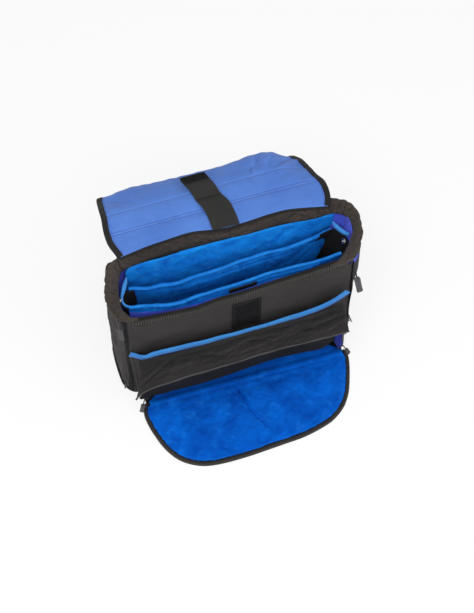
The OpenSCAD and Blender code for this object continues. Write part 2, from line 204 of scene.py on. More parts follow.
# Woven finishes: colours as a screen shows them, lengths in metres
wovenKeys = ("base", "deep", "worn", "thread", "relief", "crumple", "rough", "sheen")
wovenLooks = {
    "outerNylon": ((49, 45, 45), (37, 34, 34), (74, 69, 66), 0.0007, 0.00025, 0.0012, (0.62, 0.8),
                   0.06),
    "collarNylon": ((60, 53, 49), (42, 38, 36), (86, 76, 69), 0.0007, 0.00025, 0.0022, (0.6, 0.78),
                    0.08),
    "hemNylon": ((64, 61, 57), (52, 49, 46), (88, 84, 78), 0.0007, 0.00025, 0.001, (0.6, 0.78),
                 0.06),
    # roof: a darker copy of the outer nylon, painted shade for the folds and shadow over the
    # pocket's roof
    "roofNylon": ((34, 32, 33), (20, 19, 21), (66, 62, 60), 0.0007, 0.00025, 0.0026, (0.5, 0.7),
                  0.06),
    # piping: lighter grey than the roof, partly the cord's own tone and partly a painted highlight
    # along it
    "pipingNylon": ((66, 65, 66), (44, 43, 44), (96, 94, 93), 0.0007, 0.0002, 0.0004, (0.55, 0.7),
                    0.06),
    "trimNylon": ((31, 30, 30), (22, 21, 22), (54, 51, 49), 0.0009, 0.0003, 0.0004, (0.6, 0.8),
                  0.05),
    "bellowsNylon": ((17, 17, 20), (10, 10, 12), (30, 30, 34), 0.0006, 0.0002, 0.001, (0.7, 0.85),
                     0.0),
    "webbing": ((38, 39, 38), (28, 28, 28), (60, 60, 57), 0.0019, 0.0005, 0.0003, (0.55, 0.72),
                0.05),
    "flapLining": ((82, 126, 208), (70, 112, 194), (108, 146, 220), 0.0005, 0.00015, 0.0009,
                   (0.5, 0.66), 0.08),
    "innerLining": ((70, 88, 222), (44, 60, 184), (104, 122, 232), 0.0005, 0.00015, 0.0012,
                    (0.5, 0.66), 0.1),
    "brightBinding": ((52, 144, 226), (38, 128, 214), (88, 166, 236), 0.0008, 0.0003, 0.0004,
                      (0.55, 0.7), 0.1),
    "baseBoard": ((30, 30, 31), (22, 22, 23), (46, 46, 46), 0.0012, 0.0003, 0.0002, (0.7, 0.9),
                  0.0),
}
# Pile finishes
pileKeys = ("deep", "base", "bright", "tuft", "brush", "relief", "sheen")
pileLooks = {
    # back wall: a lighter copy of the plush, painted light where it faces the lamp
    "backPlush": ((8, 104, 200), (20, 138, 230), (58, 160, 240), 0.0016, 0.03, 0.0006, 0.12),
    "dividerPlush": ((4, 74, 154), (10, 104, 192), (36, 138, 222), 0.0016, 0.035, 0.0006, 0.12),
    # top edges: a lighter copy of the plush, painted highlight
    "edgePlush": ((14, 100, 190), (26, 124, 212), (60, 152, 230), 0.0014, 0.02, 0.0005, 0.15),
    "doorPlush": ((0, 68, 166), (0, 96, 204), (26, 124, 224), 0.0017, 0.055, 0.0007, 0.1),
    "loopPile": ((17, 17, 18), (29, 29, 31), (52, 52, 54), 0.0011, 0.008, 0.0008, 0.08),
}
# Moulded and cast finishes
hardKeys = ("base", "mark", "metal", "rough", "grain")
hardLooks = {
    "darkZinc": ((48, 48, 50), (140, 140, 142), 0.85, (0.34, 0.5), 0.0012),
    "snapSteel": ((150, 150, 150), (205, 204, 200), 1.0, (0.2, 0.36), 0.0016),
    "coilNylon": ((24, 24, 26), (50, 50, 52), 0.0, (0.35, 0.5), 0.001),
    "tagRubber": ((58, 58, 62), (84, 84, 88), 0.0, (0.5, 0.66), 0.0015),
    "darkThread": ((30, 29, 28), (52, 50, 48), 0.0, (0.6, 0.75), 0.0008),
    "blueThread": ((36, 62, 146), (50, 78, 162), 0.0, (0.55, 0.7), 0.0008),
}


finish = {}


def startMaterial(name):
    finish[name] = bpy.data.materials.new(name)
    finish[name].use_nodes = True
    tree = finish[name].node_tree
    return tree, tree.nodes["Principled BSDF"], node(tree, "ShaderNodeTexCoord").outputs["Object"]


def wovenMaterial(name, look):
    tree, shader, place = startMaterial(name)
    deep, base, worn = (shade(*look[k]) for k in ("deep", "base", "worn"))
    cut = node(tree, "ShaderNodeUVMap", uv_map="weave").outputs[0]
    grain = placeGroup(tree, "weaveGrain", cut, {"Thread": look["thread"], "Slub": 0.4})
    drift = placeGroup(tree, "toneDrift", place, {"Patch": 0.07, "Crumple": 0.013})
    wearAndShade = placeGroup(tree, "edgeWearAndHollowShade", place, {"Grain": 0.003})
    colour = mixColour(tree, drift["Tone"], deep, base)
    # Lighter threads and rubbed edges, then painted shade that darkens the hollows of folds
    for mask, amount, tint in ((grain["Shade"], 0.3, worn), (wearAndShade["Mask"], 0.55, worn),
                               (wearAndShade["PaintedHollowShade"], 0.65, shade(*(c * 0.6 for c in look["deep"])))):
        colour = mixColour(tree, times(tree, mask, amount), colour, tint)
    folded = bump(tree, drift["Crumples"], look["crumple"])
    plug(tree, shader, {
        "Base Color": colour, "Specular IOR Level": 0.16, "Sheen Weight": look["sheen"],
        "Sheen Roughness": 0.5, "Roughness": remap(tree, drift["Tone"], 0.0, 1.0,
                                                   *look["rough"][::-1]),
        "Normal": bump(tree, grain["Height"], look["relief"], Normal=folded)})


def pileMaterial(name, look):
    tree, shader, place = startMaterial(name)
    deep, base, bright = (shade(*look[k]) for k in ("deep", "base", "bright"))
    pile = placeGroup(tree, "pileNap", place, {"Tuft": look["tuft"], "Brush": look["brush"]})
    wearAndShade = placeGroup(tree, "edgeWearAndHollowShade", place, {"Grain": 0.002})
    lift = calc(tree, "MAXIMUM", times(tree, pile["Fleck"], 0.35), times(tree, wearAndShade["Mask"], 0.8))
    plug(tree, shader, {
        "Base Color": mixColour(tree, lift, mixColour(tree, pile["Nap"], deep, base), bright),
        "Roughness": remap(tree, pile["Nap"], 0.0, 1.0, 0.98, 0.84),
        "Normal": bump(tree, pile["Height"], look["relief"]), "Specular IOR Level": 0.08,
        "Sheen Weight": look["sheen"], "Sheen Roughness": 0.4, "Sheen Tint": bright})


def hardMaterial(name, look):
    tree, shader, place = startMaterial(name)
    drift = placeGroup(tree, "toneDrift", place, {"Patch": 0.006, "Crumple": look["grain"]})
    wearAndShade = placeGroup(tree, "edgeWearAndHollowShade", place, {"Grain": look["grain"]})
    lift = calc(tree, "MAXIMUM", times(tree, drift["Tone"], 0.25), wearAndShade["Mask"])
    plug(tree, shader, {
        "Base Color": mixColour(tree, lift, shade(*look["base"]), shade(*look["mark"])),
        "Roughness": remap(tree, drift["Crumples"], 0.3, 0.7, *look["rough"]),
        "Normal": bump(tree, drift["Crumples"], 0.00008), "Metallic": look["metal"]})


for maker, keys, looks in ((wovenMaterial, wovenKeys, wovenLooks),
                           (pileMaterial, pileKeys, pileLooks),
                           (hardMaterial, hardKeys, hardLooks)):
    for name, row in looks.items():
        maker(name, dict(zip(keys, row)))
print("materials made,", len(finish))

# Helpers for the shapes, all in millimetres


def ease(t):
    t = np.clip(t, 0, 1)
    return t * t * (3 - 2 * t)


def through(table, x):  # a smooth line through the table's points
    xs, ys = np.array(table, float).T
    slope = np.gradient(ys, xs)
    x = np.asarray(x, float)
    k = np.clip(np.searchsorted(xs, x) - 1, 0, len(xs) - 2)
    h = xs[k + 1] - xs[k]
    t = np.clip((x - xs[k]) / h, 0, 1)
    return ((2 * t**3 - 3 * t**2 + 1) * ys[k] + (t**3 - 2 * t**2 + t) * h * slope[k]
            + (3 * t**2 - 2 * t**3) * ys[k + 1] + (t**3 - t**2) * h * slope[k + 1])


def runOf(points):  # length along a line, at each of its points
    return np.concatenate([[0], np.cumsum(np.linalg.norm(np.diff(points, axis=0), axis=1))])


def lineThrough(points, step):  # evenly spaced points on a smooth path
    points = np.array(points, float)
    for spacing in (step / 4, step):
        run = runOf(points)
        at = np.linspace(0, run[-1], max(2, int(round(run[-1] / spacing)) + 1))
        if spacing == step:
            return np.stack([np.interp(at, run, c) for c in points.T], 1)
        points = np.stack([through(np.stack([run, c], 1), at) for c in points.T], 1)


def ripple(a, b, size, seed):  # smooth unevenness of about -1 to 1
    dice = np.random.default_rng(seed)
    total = 0
    for _ in range(8):
        turn, phase = dice.uniform(0, 2 * np.pi, 2)
        wave = 2 * np.pi / (size * dice.uniform(0.6, 1.7))
        total = total + np.sin((a * np.cos(turn) + b * np.sin(turn)) * wave + phase)
    return total / 2.8


def folds(a, b, lines):  # lines: start, end, half width and height of each fold
    total = np.zeros(np.broadcast(a, b).shape)
    for pa, pb, qa, qb, width, height in lines:
        da, db = qa - pa, qb - pb
        t = np.clip(((a - pa) * da + (b - pb) * db) / (da * da + db * db), 0, 1)
        off = np.hypot(a - pa - t * da, b - pb - t * db) / width
        total += height * np.exp(-off**2) * np.sin(np.pi * (0.06 + 0.88 * t)) ** 0.6
    return total


def read(rows, key, width=3, kind=np.float32):
    values = np.zeros(len(rows) * width, kind)
    rows.foreach_get(key, values)
    return values.reshape(-1, width)


def addPiece(name, mesh, material=None):
    piece = bpy.data.objects.new(name, mesh)
    scene.collection.objects.link(piece)
    return piece


def addWeave(mesh, uv):  # the weave's coordinates in millimetres, a row for each point
    corner = read(mesh.loops, "vertex_index", 1, np.int32)[:, 0]
    weave = (uv[corner] * mm).astype(np.float32).ravel()
    mesh.uv_layers.new(name="weave").uv.foreach_set("vector", weave)


def evaluated(piece):  # a plain copy of the object's shape with its modifiers
    bpy.context.view_layer.update()
    graph = bpy.context.evaluated_depsgraph_get()
    return bpy.data.meshes.new_from_object(piece.evaluated_get(graph))


def newPiece(name, points, faces, materials, index, uv, sharp=()):
    mesh = bpy.data.meshes.new(name)
    mesh.from_pydata((points * mm).tolist(), [], [list(map(int, f)) for f in faces])
    for m in materials:
        mesh.materials.append(finish[m])
    mesh.polygons.foreach_set("material_index", np.asarray(index, np.int32))
    mesh.polygons.foreach_set("use_smooth", np.ones(len(mesh.polygons), bool))
    addWeave(mesh, uv)
    if len(sharp):
        flags = np.isin(read(mesh.edges, "vertices", 2, np.int32), list(sharp)).all(1)
        mesh.attributes.new("sharp_edge", "BOOLEAN", "EDGE").data.foreach_set("value", flags)
    mesh.update()
    return addPiece(name, mesh, materials[0])


def unit(v):
    return v / np.maximum(np.linalg.norm(v, axis=-1, keepdims=True), 1e-9)


def normalsOf(grid):
    return unit(np.cross(np.gradient(grid, axis=0), np.gradient(grid, axis=1)))


def gridOf(x, y, z):
    return np.stack(np.broadcast_arrays(x, y, z), -1)


def flatSize(grid):  # width and length that the cloth was cut to, in metres
    return [np.linalg.norm(np.diff(grid, axis=k), axis=2).sum(k).mean() * mm for k in (0, 1)]


def panel(name, grid, thick, materials, rows=None, cutLow=False, cutHigh=False, normal=None):
    # A closed cloth panel round a grid of middle points (across, along). Its materials: on
    # the normal's side, behind, and on the edge. A cut end is flat, for the next slice.
    normal = normalsOf(grid) if normal is None else normal
    thick = np.broadcast_to(thick, grid.shape[:2])
    span = [np.concatenate([[0], np.cumsum(np.linalg.norm(np.diff(grid, axis=k),
                                                          axis=2).mean(1 - k))])
            for k in (0, 1)]
    if rows is not None:
        grid, normal, thick = grid[:, rows], normal[:, rows], thick[:, rows]
        span[1] = span[1][rows]
    nu, nv = grid.shape[:2]
    half = thick[..., None] * normal / 2
    padded = np.pad(grid, ((1, 1), (1, 1), (0, 0)), mode="edge")
    reach = np.pad(thick, 1, mode="edge")[..., None] * 0.42  # how far the edge stands out
    du, dv = unit(np.gradient(grid, axis=0)), unit(np.gradient(grid, axis=1))
    for k, way, cut in ((0, -1, cutLow), (-1, 1, cutHigh)):
        padded[k, 1:-1] += way * du[k] * reach[k, 1:-1]
        padded[1:-1, k] += way * dv[:, k] * reach[1:-1, k] * (not cut)
    for i in (0, -1):
        for j in (0, -1):
            padded[i, j] = (padded[i, 1 if j == 0 else -2] + padded[1 if i == 0 else -2, j]) / 2
    count = (nu + 2) * (nv + 2)
    number = np.arange(count).reshape(nu + 2, nv + 2)
    back = number.copy()
    back[1:-1, 1:-1] = count + np.arange(nu * nv).reshape(nu, nv)
    points = padded.reshape(-1, 3).copy()
    points[number[1:-1, 1:-1].ravel()] += half.reshape(-1, 3)
    points = np.concatenate([points, (grid - half).reshape(-1, 3)])

    def quads(n, flip):
        q = np.stack([n[:-1, :-1], n[1:, :-1], n[1:, 1:], n[:-1, 1:]], -1).reshape(-1, 4)
        return q[:, ::-1] if flip else q
    rim = np.pad(np.zeros((nu - 1, nv - 1), bool), 1, constant_values=True)
    edge = 2 if len(materials) > 2 else 0
    index = np.stack([np.where(rim, edge, k) for k in (0, min(1, len(materials) - 1))]).ravel()
    across, along = (np.pad(s, 1, mode="edge") for s in span)
    uv = np.concatenate([np.stack(np.meshgrid(*pair, indexing="ij"), -1).reshape(-1, 2)
                         for pair in ((across, along), span)])
    sharp = [k for cut, j in ((cutLow, 1), (cutHigh, nv)) if cut
             for sheet in (number, back) for k in sheet[1:-1, j]]
    return newPiece(name, points, np.concatenate([quads(number, False), quads(back, True)]),
                    materials, index, uv, sharp)


def ringsAlong(path, up, section, size=None, turn=0):
    # Rings of a section (side, up) carried along a path; up is one vector or one a point
    tangent = unit(np.gradient(path, axis=0))
    side = unit(np.cross(tangent, np.broadcast_to(up, path.shape)))
    up = np.cross(side, tangent)
    s, u = section[:, 0][None], section[:, 1][None]
    if turn:
        s, u = s * math.cos(turn) - u * math.sin(turn), s * math.sin(turn) + u * math.cos(turn)
    if size is not None:
        s, u = s * size[:, None], u * size[:, None]
    return path[:, None] + side[:, None] * s[..., None] + up[:, None] * u[..., None]


def ringPiece(name, rings, material, rows=slice(None)):
    # A closed tube through the rings, which run the way a right hand curls round its path
    steps = np.linalg.norm(np.diff(rings, axis=0), axis=2).mean(1)
    run = np.concatenate([[0], np.cumsum(steps)])[rows]
    rings = rings[rows]
    n, m = rings.shape[:2]
    number = np.arange(n * m).reshape(n, m)
    nextOne = np.roll(number, -1, axis=1)
    quads = (number[:-1], nextOne[:-1], nextOne[1:], number[1:])
    faces = np.stack(quads, -1).reshape(-1, 4).tolist()
    faces += [[n * m, b, a] for a, b in zip(number[0], nextOne[0])]
    faces += [[n * m + 1, a, b] for a, b in zip(number[-1], nextOne[-1])]
    points = np.concatenate([rings.reshape(-1, 3), [rings[0].mean(0), rings[-1].mean(0)]])
    around = np.cumsum(np.linalg.norm(np.diff(rings[0], axis=0, prepend=rings[0][-1:]), axis=1))
    uv = np.concatenate([np.stack([np.repeat(run, m), np.tile(around, n)], 1),
                         [[run[0], 0], [run[-1], 0]]])
    piece = newPiece(name, points, faces, [material], np.zeros(len(faces)), uv,
                     [*number[0], *number[-1]])
    p, q, r = (points[[f[k] for f in faces]] for k in range(3))
    if np.sum(p * np.cross(q - p, r - p)) < 0:  # its volume came out inside out
        piece.data.flip_normals()
    return piece


def hold(piece, body, *replaced):
    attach(piece, body)
    if replaced:
        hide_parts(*replaced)
    return piece


def bend(piece, a, b, start, end, *replaced):  # start and end: Y and Z in millimetres, not used
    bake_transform(piece)
    if replaced:
        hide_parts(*replaced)


def strand(name, path, bar, material, body="bag", *nodes, up=(0, 0, 1), size=None):
    return hold(ringPiece(name, ringsAlong(path, up, roundBar(*bar), size), material), body, *nodes)


def cloth(name, grid, thick, materials, held, restsOn, *nodes):  # a sheet that rides on the bag
    piece = panel(name, grid, thick, materials)
    flatSize(grid)
    return hold(piece, "bag", *nodes)


def sewn(name, rows, up, look="stitch", material="darkThread", body="bag"):
    return hold(beads(name, [(row, up) for row in rows], beadLooks[look], material), body)


def roundBar(width, height, power=2.6, count=20):  # a soft rectangle, as a section
    a = np.linspace(0, 2 * np.pi, count, endpoint=False)
    c, s = np.cos(a), np.sin(a)
    return np.stack([width / 2 * np.sign(c) * np.abs(c) ** (2 / power),
                     height / 2 * np.sign(s) * np.abs(s) ** (2 / power)], 1)


def slab(name, outline, step, lower, upper, materials):
    # A closed piece over an outline in X and Y, flat below, its upper height by X and Y
    outline = np.array(outline, float)
    low, high = outline.min(0), outline.max(0)
    gx, gy = np.meshgrid(np.arange(low[0], high[0], step), np.arange(low[1], high[1], step))
    inner = np.stack([gx.ravel(), gy.ravel()], 1)
    nextOne = np.roll(outline, -1, axis=0)
    inside = np.zeros(len(inner), bool)
    near = np.full(len(inner), 1e9)
    for p, q in zip(outline, nextOne):
        crosses = (p[1] > inner[:, 1]) != (q[1] > inner[:, 1])
        at = p[0] + (inner[:, 1] - p[1]) / ((q[1] - p[1]) or 1e-9) * (q[0] - p[0])
        inside ^= crosses & (inner[:, 0] < at)
        d = q - p
        t = np.clip(((inner - p) @ d) / max(d @ d, 1e-9), 0, 1)
        near = np.minimum(near, np.linalg.norm(inner - p - t[:, None] * d, axis=1))
    flat = np.concatenate([outline, inner[inside & (near > step * 0.45)]])
    made = delaunay_2d_cdt([Vector(p) for p in flat], [], [list(range(len(outline)))], 1, 1e-5)
    xy, faces = np.array([list(p) for p in made[0]]), np.array([list(f) for f in made[2]])
    a, b, c = (xy[faces[:, k]] for k in range(3))
    turned = ((b - a)[:, 0] * (c - a)[:, 1] - (b - a)[:, 1] * (c - a)[:, 0]) < 0
    faces[turned] = faces[turned][:, ::-1]
    n, k = len(xy), len(outline)
    points = np.column_stack([np.tile(xy.T, 2).T, np.append(upper(*xy.T), np.full(n, lower))])
    ccw = np.sum(outline[:, 0] * nextOne[:, 1] - outline[:, 1] * nextOne[:, 0]) > 0
    rim = [[i, (i + 1) % k][::1 if ccw else -1] for i in range(k)]
    everything = [*faces, *(faces[:, ::-1] + n), *([n + i, n + j, j, i] for i, j in rim)]
    last = len(materials) - 1
    index = np.repeat([0, min(1, last), last], [len(faces), len(faces), k])
    return newPiece(name, points, everything, materials, index, points[:, :2])


def makeBeadTree():
    # Small rounded beads at even steps along an edge: stitches, zip coils and ribs
    tree = bpy.data.node_groups.new("beadRun", "GeometryNodeTree")
    for label, kind in (("Geometry", "Geometry"), ("Spacing", "Float"), ("Along", "Float"),
                        ("Across", "Float"),
                        ("Up", "Float"), ("Zigzag", "Float"), ("Material", "Material")):
        tree.interface.new_socket(label, in_out="INPUT", socket_type="NodeSocket" + kind)
    tree.interface.new_socket("Geometry", in_out="OUTPUT", socket_type="NodeSocketGeometry")
    given = tree.nodes.new("NodeGroupInput").outputs

    def out(kind, inputs=None, **settings):
        return node(tree, kind, inputs, **settings).outputs[0]
    even = out("GeometryNodeResampleCurve", {
        "Curve": out("GeometryNodeMeshToCurve", {0: given["Geometry"]}),
        "Length": given["Spacing"]}, mode="LENGTH")
    ball = out("GeometryNodeMeshUVSphere", {"Segments": 6, "Rings": 4, "Radius": 0.5})
    size = out("ShaderNodeCombineXYZ", {0: given["Along"], 1: given["Across"], 2: given["Up"]})
    bead = out("GeometryNodeTransform", {"Geometry": ball, "Scale": size})
    soft = out("GeometryNodeSetShadeSmooth", {"Geometry": bead})
    first = out("FunctionNodeAlignRotationToVector", {"Vector": out("GeometryNodeInputTangent")},
                axis="X")
    lie = out("GeometryNodeInputNamedAttribute", {"Name": "lie"}, data_type="FLOAT_VECTOR")
    second = out("FunctionNodeAlignRotationToVector", {"Rotation": first, "Vector": lie},
                 axis="Z", pivot_axis="X")
    row = out("GeometryNodeInstanceOnPoints",
              {"Points": even, "Instance": soft, "Rotation": second})
    odd = calc(tree, "MODULO", out("GeometryNodeInputIndex"), 2.0)
    aside = times(tree, calc(tree, "SUBTRACT", odd, 0.5), given["Zigzag"])
    move = out("ShaderNodeCombineXYZ", {1: aside})
    moved = out("GeometryNodeTranslateInstances", {"Instances": row, "Translation": move})
    real = out("GeometryNodeRealizeInstances", {0: moved})
    dressed = out("GeometryNodeSetMaterial", {"Geometry": real, "Material": given["Material"]})
    node(tree, "NodeGroupOutput", {0: dressed})
    return tree


beadTree = makeBeadTree()
# Spacing and size of the beads in a run, millimetres
beadLooks = {
    "stitch": {"Spacing": 3.0, "Along": 2.4, "Across": 0.8, "Up": 0.7, "Zigzag": 0.0},
    "quilting": {"Spacing": 2.8, "Along": 2.5, "Across": 1.4, "Up": 1.1, "Zigzag": 0.0},
    "coil": {"Spacing": 1.25, "Along": 1.15, "Across": 3.3, "Up": 1.5, "Zigzag": 1.6},
    "rib": {"Spacing": 4.2, "Along": 2.6, "Across": 18.0, "Up": 2.0, "Zigzag": 0.0},
}


def beads(name, runs, look, material):
    # runs: (points, up vectors) of each row. All rows become one plain mesh.
    points = np.concatenate([line for line, up in runs])
    ups = np.concatenate([np.broadcast_to(up, line.shape) for line, up in runs])
    ends = np.cumsum([len(line) for line, up in runs])
    edges = [[i, i + 1] for i in range(len(points) - 1) if i + 1 not in ends]
    mesh = bpy.data.meshes.new(name)
    mesh.from_pydata((points * mm).tolist(), edges, [])
    lie = mesh.attributes.new("lie", "FLOAT_VECTOR", "POINT")
    lie.data.foreach_set("vector", ups.astype(np.float32).ravel())
    guide = addPiece(name + "Guide", mesh)
    run = guide.modifiers.new("run", "NODES")
    run.node_group = beadTree
    for entry in beadTree.interface.items_tree:
        if entry.name in look:
            run[entry.identifier] = look[entry.name] * mm
        if entry.name == "Material":
            run[entry.identifier] = finish[material]
    done = evaluated(guide)
    bpy.data.objects.remove(guide)
    done.name = name
    return addPiece(name, done, material)


def cornersOf(piece):
    return read(piece.data.vertices, "co").astype(float) / mm


def setCorners(piece, points):
    piece.data.vertices.foreach_set("co", (points * mm).astype(np.float32).ravel())
    piece.data.update()


def blowUp(piece, look, held):  # cloth with pressure inside, held where it is sewn
    before = cornersOf(piece)
    group = piece.vertex_groups.new(name="sewn")
    group.add([int(i) for i in np.nonzero(held(before))[0]], 1.0, "REPLACE")
    cloth = piece.modifiers.new("cloth", "CLOTH")
    c = cloth.settings
    c.quality, c.mass = 5, 0.3
    c.tension_stiffness = c.compression_stiffness = c.shear_stiffness = look["stiff"]
    c.bending_stiffness = look["bend"]
    c.use_pressure, c.uniform_pressure_force = True, look["pressure"]
    c.effector_weights.gravity = 0
    c.vertex_group_mass = "sewn"
    cloth.point_cache.frame_start, cloth.point_cache.frame_end = 1, 20
    for moment in range(1, 21):
        scene.frame_set(moment)
    moved = cornersOf(piece.evaluated_get(bpy.context.evaluated_depsgraph_get())) - before
    piece.modifiers.clear()
    piece.vertex_groups.clear()
    scene.frame_set(1)
    far = np.linalg.norm(moved, axis=1, keepdims=True)
    setCorners(piece, before + moved * np.minimum(1, look["cap"] / np.maximum(far, 1e-6)))
    print("  ", piece.name, "swelled by up to", round(float(far.max()), 1), "mm, kept to",
          look["cap"])


def puff(start, look, held, dress=None, shape=None):
    # The recipe for every stuffed piece: fine voxels, then cloth blown up by pressure,
    # then one subdivision and its seams
    name = start.name
    start.name = name + "Start"
    remesh = start.modifiers.new("voxels", "REMESH")
    remesh.mode, remesh.voxel_size, remesh.use_smooth_shade = "VOXEL", look["voxel"] * mm, True
    names = [m.name for m in start.data.materials]
    piece = addPiece(name, evaluated(start), names[0])
    bpy.data.objects.remove(start)
    blowUp(piece, look, held)
    smooth = piece.modifiers.new("finer", "SUBSURF")
    smooth.levels = smooth.render_levels = 1
    done = evaluated(piece)
    piece.modifiers.clear()
    piece.data = done
    done.materials.clear()
    for m in names:
        done.materials.append(finish[m])
    setCorners(piece, shape(cornersOf(piece)))
    done.polygons.foreach_set("use_smooth", np.ones(len(done.polygons), bool))
    if dress is not None:
        index = dress(read(done.polygons, "center") / mm, read(done.polygons, "normal"))
        done.polygons.foreach_set("material_index", index.astype(np.int32))
    addWeave(done, cornersOf(piece)[:, look["flat"]])
    return piece


bothSides = ((-1, "left"), (1, "right"))

# Main compartment
wallSet = {"halfWidth": 198, "halfDepth": 53, "thick": 3.2, "corner": 11, "bulge": 4.5}
sideFolds = [(-20, 40, 12, 190, 7, -2.6), (18, 24, 34, 150, 6, 2.2), (-24, 150, 30, 222, 9, 2.4),
             (-10, 20, 40, 70, 8, -2.2), (30, 170, -5, 238, 6, -2.0), (-26, 90, 24, 104, 6, 1.6)]

backFolds = [(-150, 30, -60, 80, 9, 1.8), (40, 60, 150, 24, 10, 2), (-30, 150, 90, 170, 10, -1.6),
             (-160, 200, -110, 90, 9, -1.6), (150, 210, 176, 100, 8, 1.6)]


def sideTop(y):  # top of a side wall, which drops to the front
    return 246 + 12 * np.clip((y + 53) / 106, 0, 1)


def makeWalls(w):
    # Sides and back, one loft round three sides of the base
    x, y, r = w["halfWidth"] - w["thick"] / 2, w["halfDepth"] - w["thick"] / 2, w["corner"]
    arc = [(-x + r - r * math.cos(a), y - r + r * math.sin(a))
           for a in np.linspace(0, np.pi / 2, 7)]
    path = [(-x + 2, -y + 1.5), (-x, -y + 5)]
    path += [(-x, t) for t in np.linspace(-30, y - r - 6, 5)] + arc
    path += [(t, y) for t in np.linspace(-x + r + 12, 0, 8)]
    path = lineThrough(path + [(-a, b) for a, b in path[-2::-1]], 3.6)
    s = np.linspace(0, 1, 68)
    px, py = path[:, :1], path[:, 1:]
    onSide = ease((np.abs(px) - 180) / 14)
    top = onSide * sideTop(py) + (1 - onSide) * 254
    z = 3.5 + (top - 3.5) * s[None]
    tangent = unit(np.gradient(path, axis=0))
    out = np.stack([-tangent[:, 1], tangent[:, 0], 0 * tangent[:, 0]], 1)[:, None]
    rise = np.sin(np.pi * s[None]) ** 0.8
    clear = ease((py + 30) / 24) * onSide
    bulge = w["bulge"] * rise * (clear * 0.9 + (1 - onSide) * 0.4)
    rear = ease((py + 39) / 14) * onSide
    flare = 21 * ease((z - 50) / 135) - 3 * ease((z - 240) / 12)
    bulge = bulge + rear * np.where(px < 0, 6 + 1.5 * rise + 4 * ease(1 - z / 80), flare)
    wrinkle = folds(py, z, sideFolds) * np.where(px < 0, 1, -0.8) * clear
    backFold = (1 - onSide) * rise * (1.2 * ripple(px, z * 1.6, 120, 11) + folds(px, z, backFolds))
    uneven = 0.7 * rise * ripple(px + py * 1.4, z, 34, 12) * (clear + 1 - onSide)
    away = bulge + wrinkle + backFold + uneven
    cloth("bodyWalls", gridOf(px, py, z) + out * away[..., None], w["thick"], ["outerNylon"],
          "stretched", "base_board", "back_panel", "side_panel_left", "side_panel_right")


# Front wall: how far its face bows out and where its top runs, by X
frontSet = {"thick": 3.0,
            "hem": 20,
            "bow": [(-200, -1), (-188, -2), (-165, -5), (-136, -8.5), (-90, -11), (-22, -8.5),
                    (46, -6), (96, -4.5), (149, -1), (188, 0), (200, 0)],
            "top": [(-200, 243), (-170, 243.5), (-120, 246), (-60, 248.5), (0, 250.5), (60, 252.5),
                    (120, 254.5), (170, 256), (200, 255)]}
frontFolds = [(-150, 150, -40, 176, 10, -1.8), (-176, 236, -150, 170, 8, 1.8),
              (60, 206, 172, 168, 12, -2.0), (90, 236, 180, 214, 9, 1.2),
              (-110, 222, -30, 206, 10, 1.2), (40, 170, 120, 150, 8, 1.6)]


def frontFace(x, z):  # Y of the front wall's outer face
    height = np.clip(z / 250, 0, 1.05)
    plain = -53 + through(frontSet["bow"], x) * height**2.2
    uneven = folds(x, z, frontFolds) + 0.8 * ripple(x, z * 1.3, 70, 21)
    return plain - uneven * ease((z - 20) / 60) * ease((192 - np.abs(x)) / 14)


def frontTop(x):
    return through(frontSet["top"], x)


def makeFrontWall(w):
    turnIn = [(-196.6, -44), (-196.4, -48.5), (-194.6, -51), (-190, -51.6)]
    path = lineThrough(turnIn + [(t, -51.6) for t in np.linspace(-180, 180, 19)]
                       + [(-a, b) for a, b in turnIn[::-1]], 3.6)
    s = np.linspace(0, 1, 66)
    x = path[:, :1] + 0 * s[None]
    z = 4 + (frontTop(x) - 1.0 - 4) * s[None]
    wide = ease((np.abs(x) - 176) / 10) * ease((z - 232) / 6)  # its corners drop under the collar
    z = z - wide * (z - 237)
    y = path[:, 1:] + (frontFace(x, z) + 53)
    cloth("frontWall", gridOf(x, y, z), w["thick"], ["outerNylon", "innerLining"], "stretched",
          "base_board", "front_panel")
    # Ribbed hem, folded over the top edge: down the outside, over the top, down the inside
    xs = np.arange(-184.5, 185, 3.0)
    top = frontTop(xs)
    rows = []
    for t in np.linspace(1, 0, 25):
        drop = np.interp(t, [0, 0.47, 0.53, 1], [w["hem"], 1.2, 1.2, 11])
        z = top - drop + np.interp(t, [0.47, 0.5, 0.53], [0, 1, 0]) * 2.0
        side = np.interp(t, [0, 0.45, 0.55, 1], [-0.9, -0.9, w["thick"] + 0.9, w["thick"] + 0.9])
        rows.append(np.stack([xs, frontFace(xs, np.minimum(z, top)) + side, z], 1))
    grid = np.stack(rows, 1)
    hold(panel("frontHem", grid, 1.5, ["trimNylon"], normal=-normalsOf(grid)), "bag", "front_hem")

    def below(drop, out):  # a line along the hem
        return np.stack([xs, frontFace(xs, top - drop) - out, top - drop], 1)
    sewn("hemRibs", [below(w["hem"] / 2 + 0.5, 1.6)], (0, -1, 0), "rib", "hemNylon")
    strand("hemFold", below(w["hem"] + 0.4, 0.9), (2.6, 2.0, 2, 10), "hemNylon")
    sewn("hemStitches", [below(w["hem"] + 2.6, 1.9)], (0, -1, 0))


patchSet = {"low": (-16, 133), "high": (34, 216), "thick": 1.8, "hem": 3}


def makeFrontPatch(p):
    (x0, z0), (x1, z1), h = p["low"], p["high"], p["hem"]
    x, z = np.meshgrid(np.linspace(x0, x1, 26), np.linspace(z0, z1, 42), indexing="ij")
    y = frontFace(x, z) - 0.9 - (0.5 * ripple(x, z, 9, 3) + 0.3) * 0.5
    hold(panel("frontPatch", gridOf(x, y, z), p["thick"], ["loopPile"]), "bag", "front_patch")
    square = [(x0 + h, z0 + h), (x1 - h, z0 + h), (x1 - h, z1 - h), (x0 + h, z1 - h),
              (x0 + h, z0 + h)]
    rows = [lineThrough(pair, 2) for pair in zip(square, square[1:])]
    rows = [np.stack([q[:, 0], frontFace(*q.T) - 2.1, q[:, 1]], 1) for q in rows]
    sewn("frontPatchStitches", rows, (0, -1, 0))


baseSet = {"half": (198, 53), "corner": 11, "height": 4.6, "wider": 10,
           "weltIn": 0.5, "weltHeight": 5.2, "welt": (4.2, 3.6, 2, 10)}


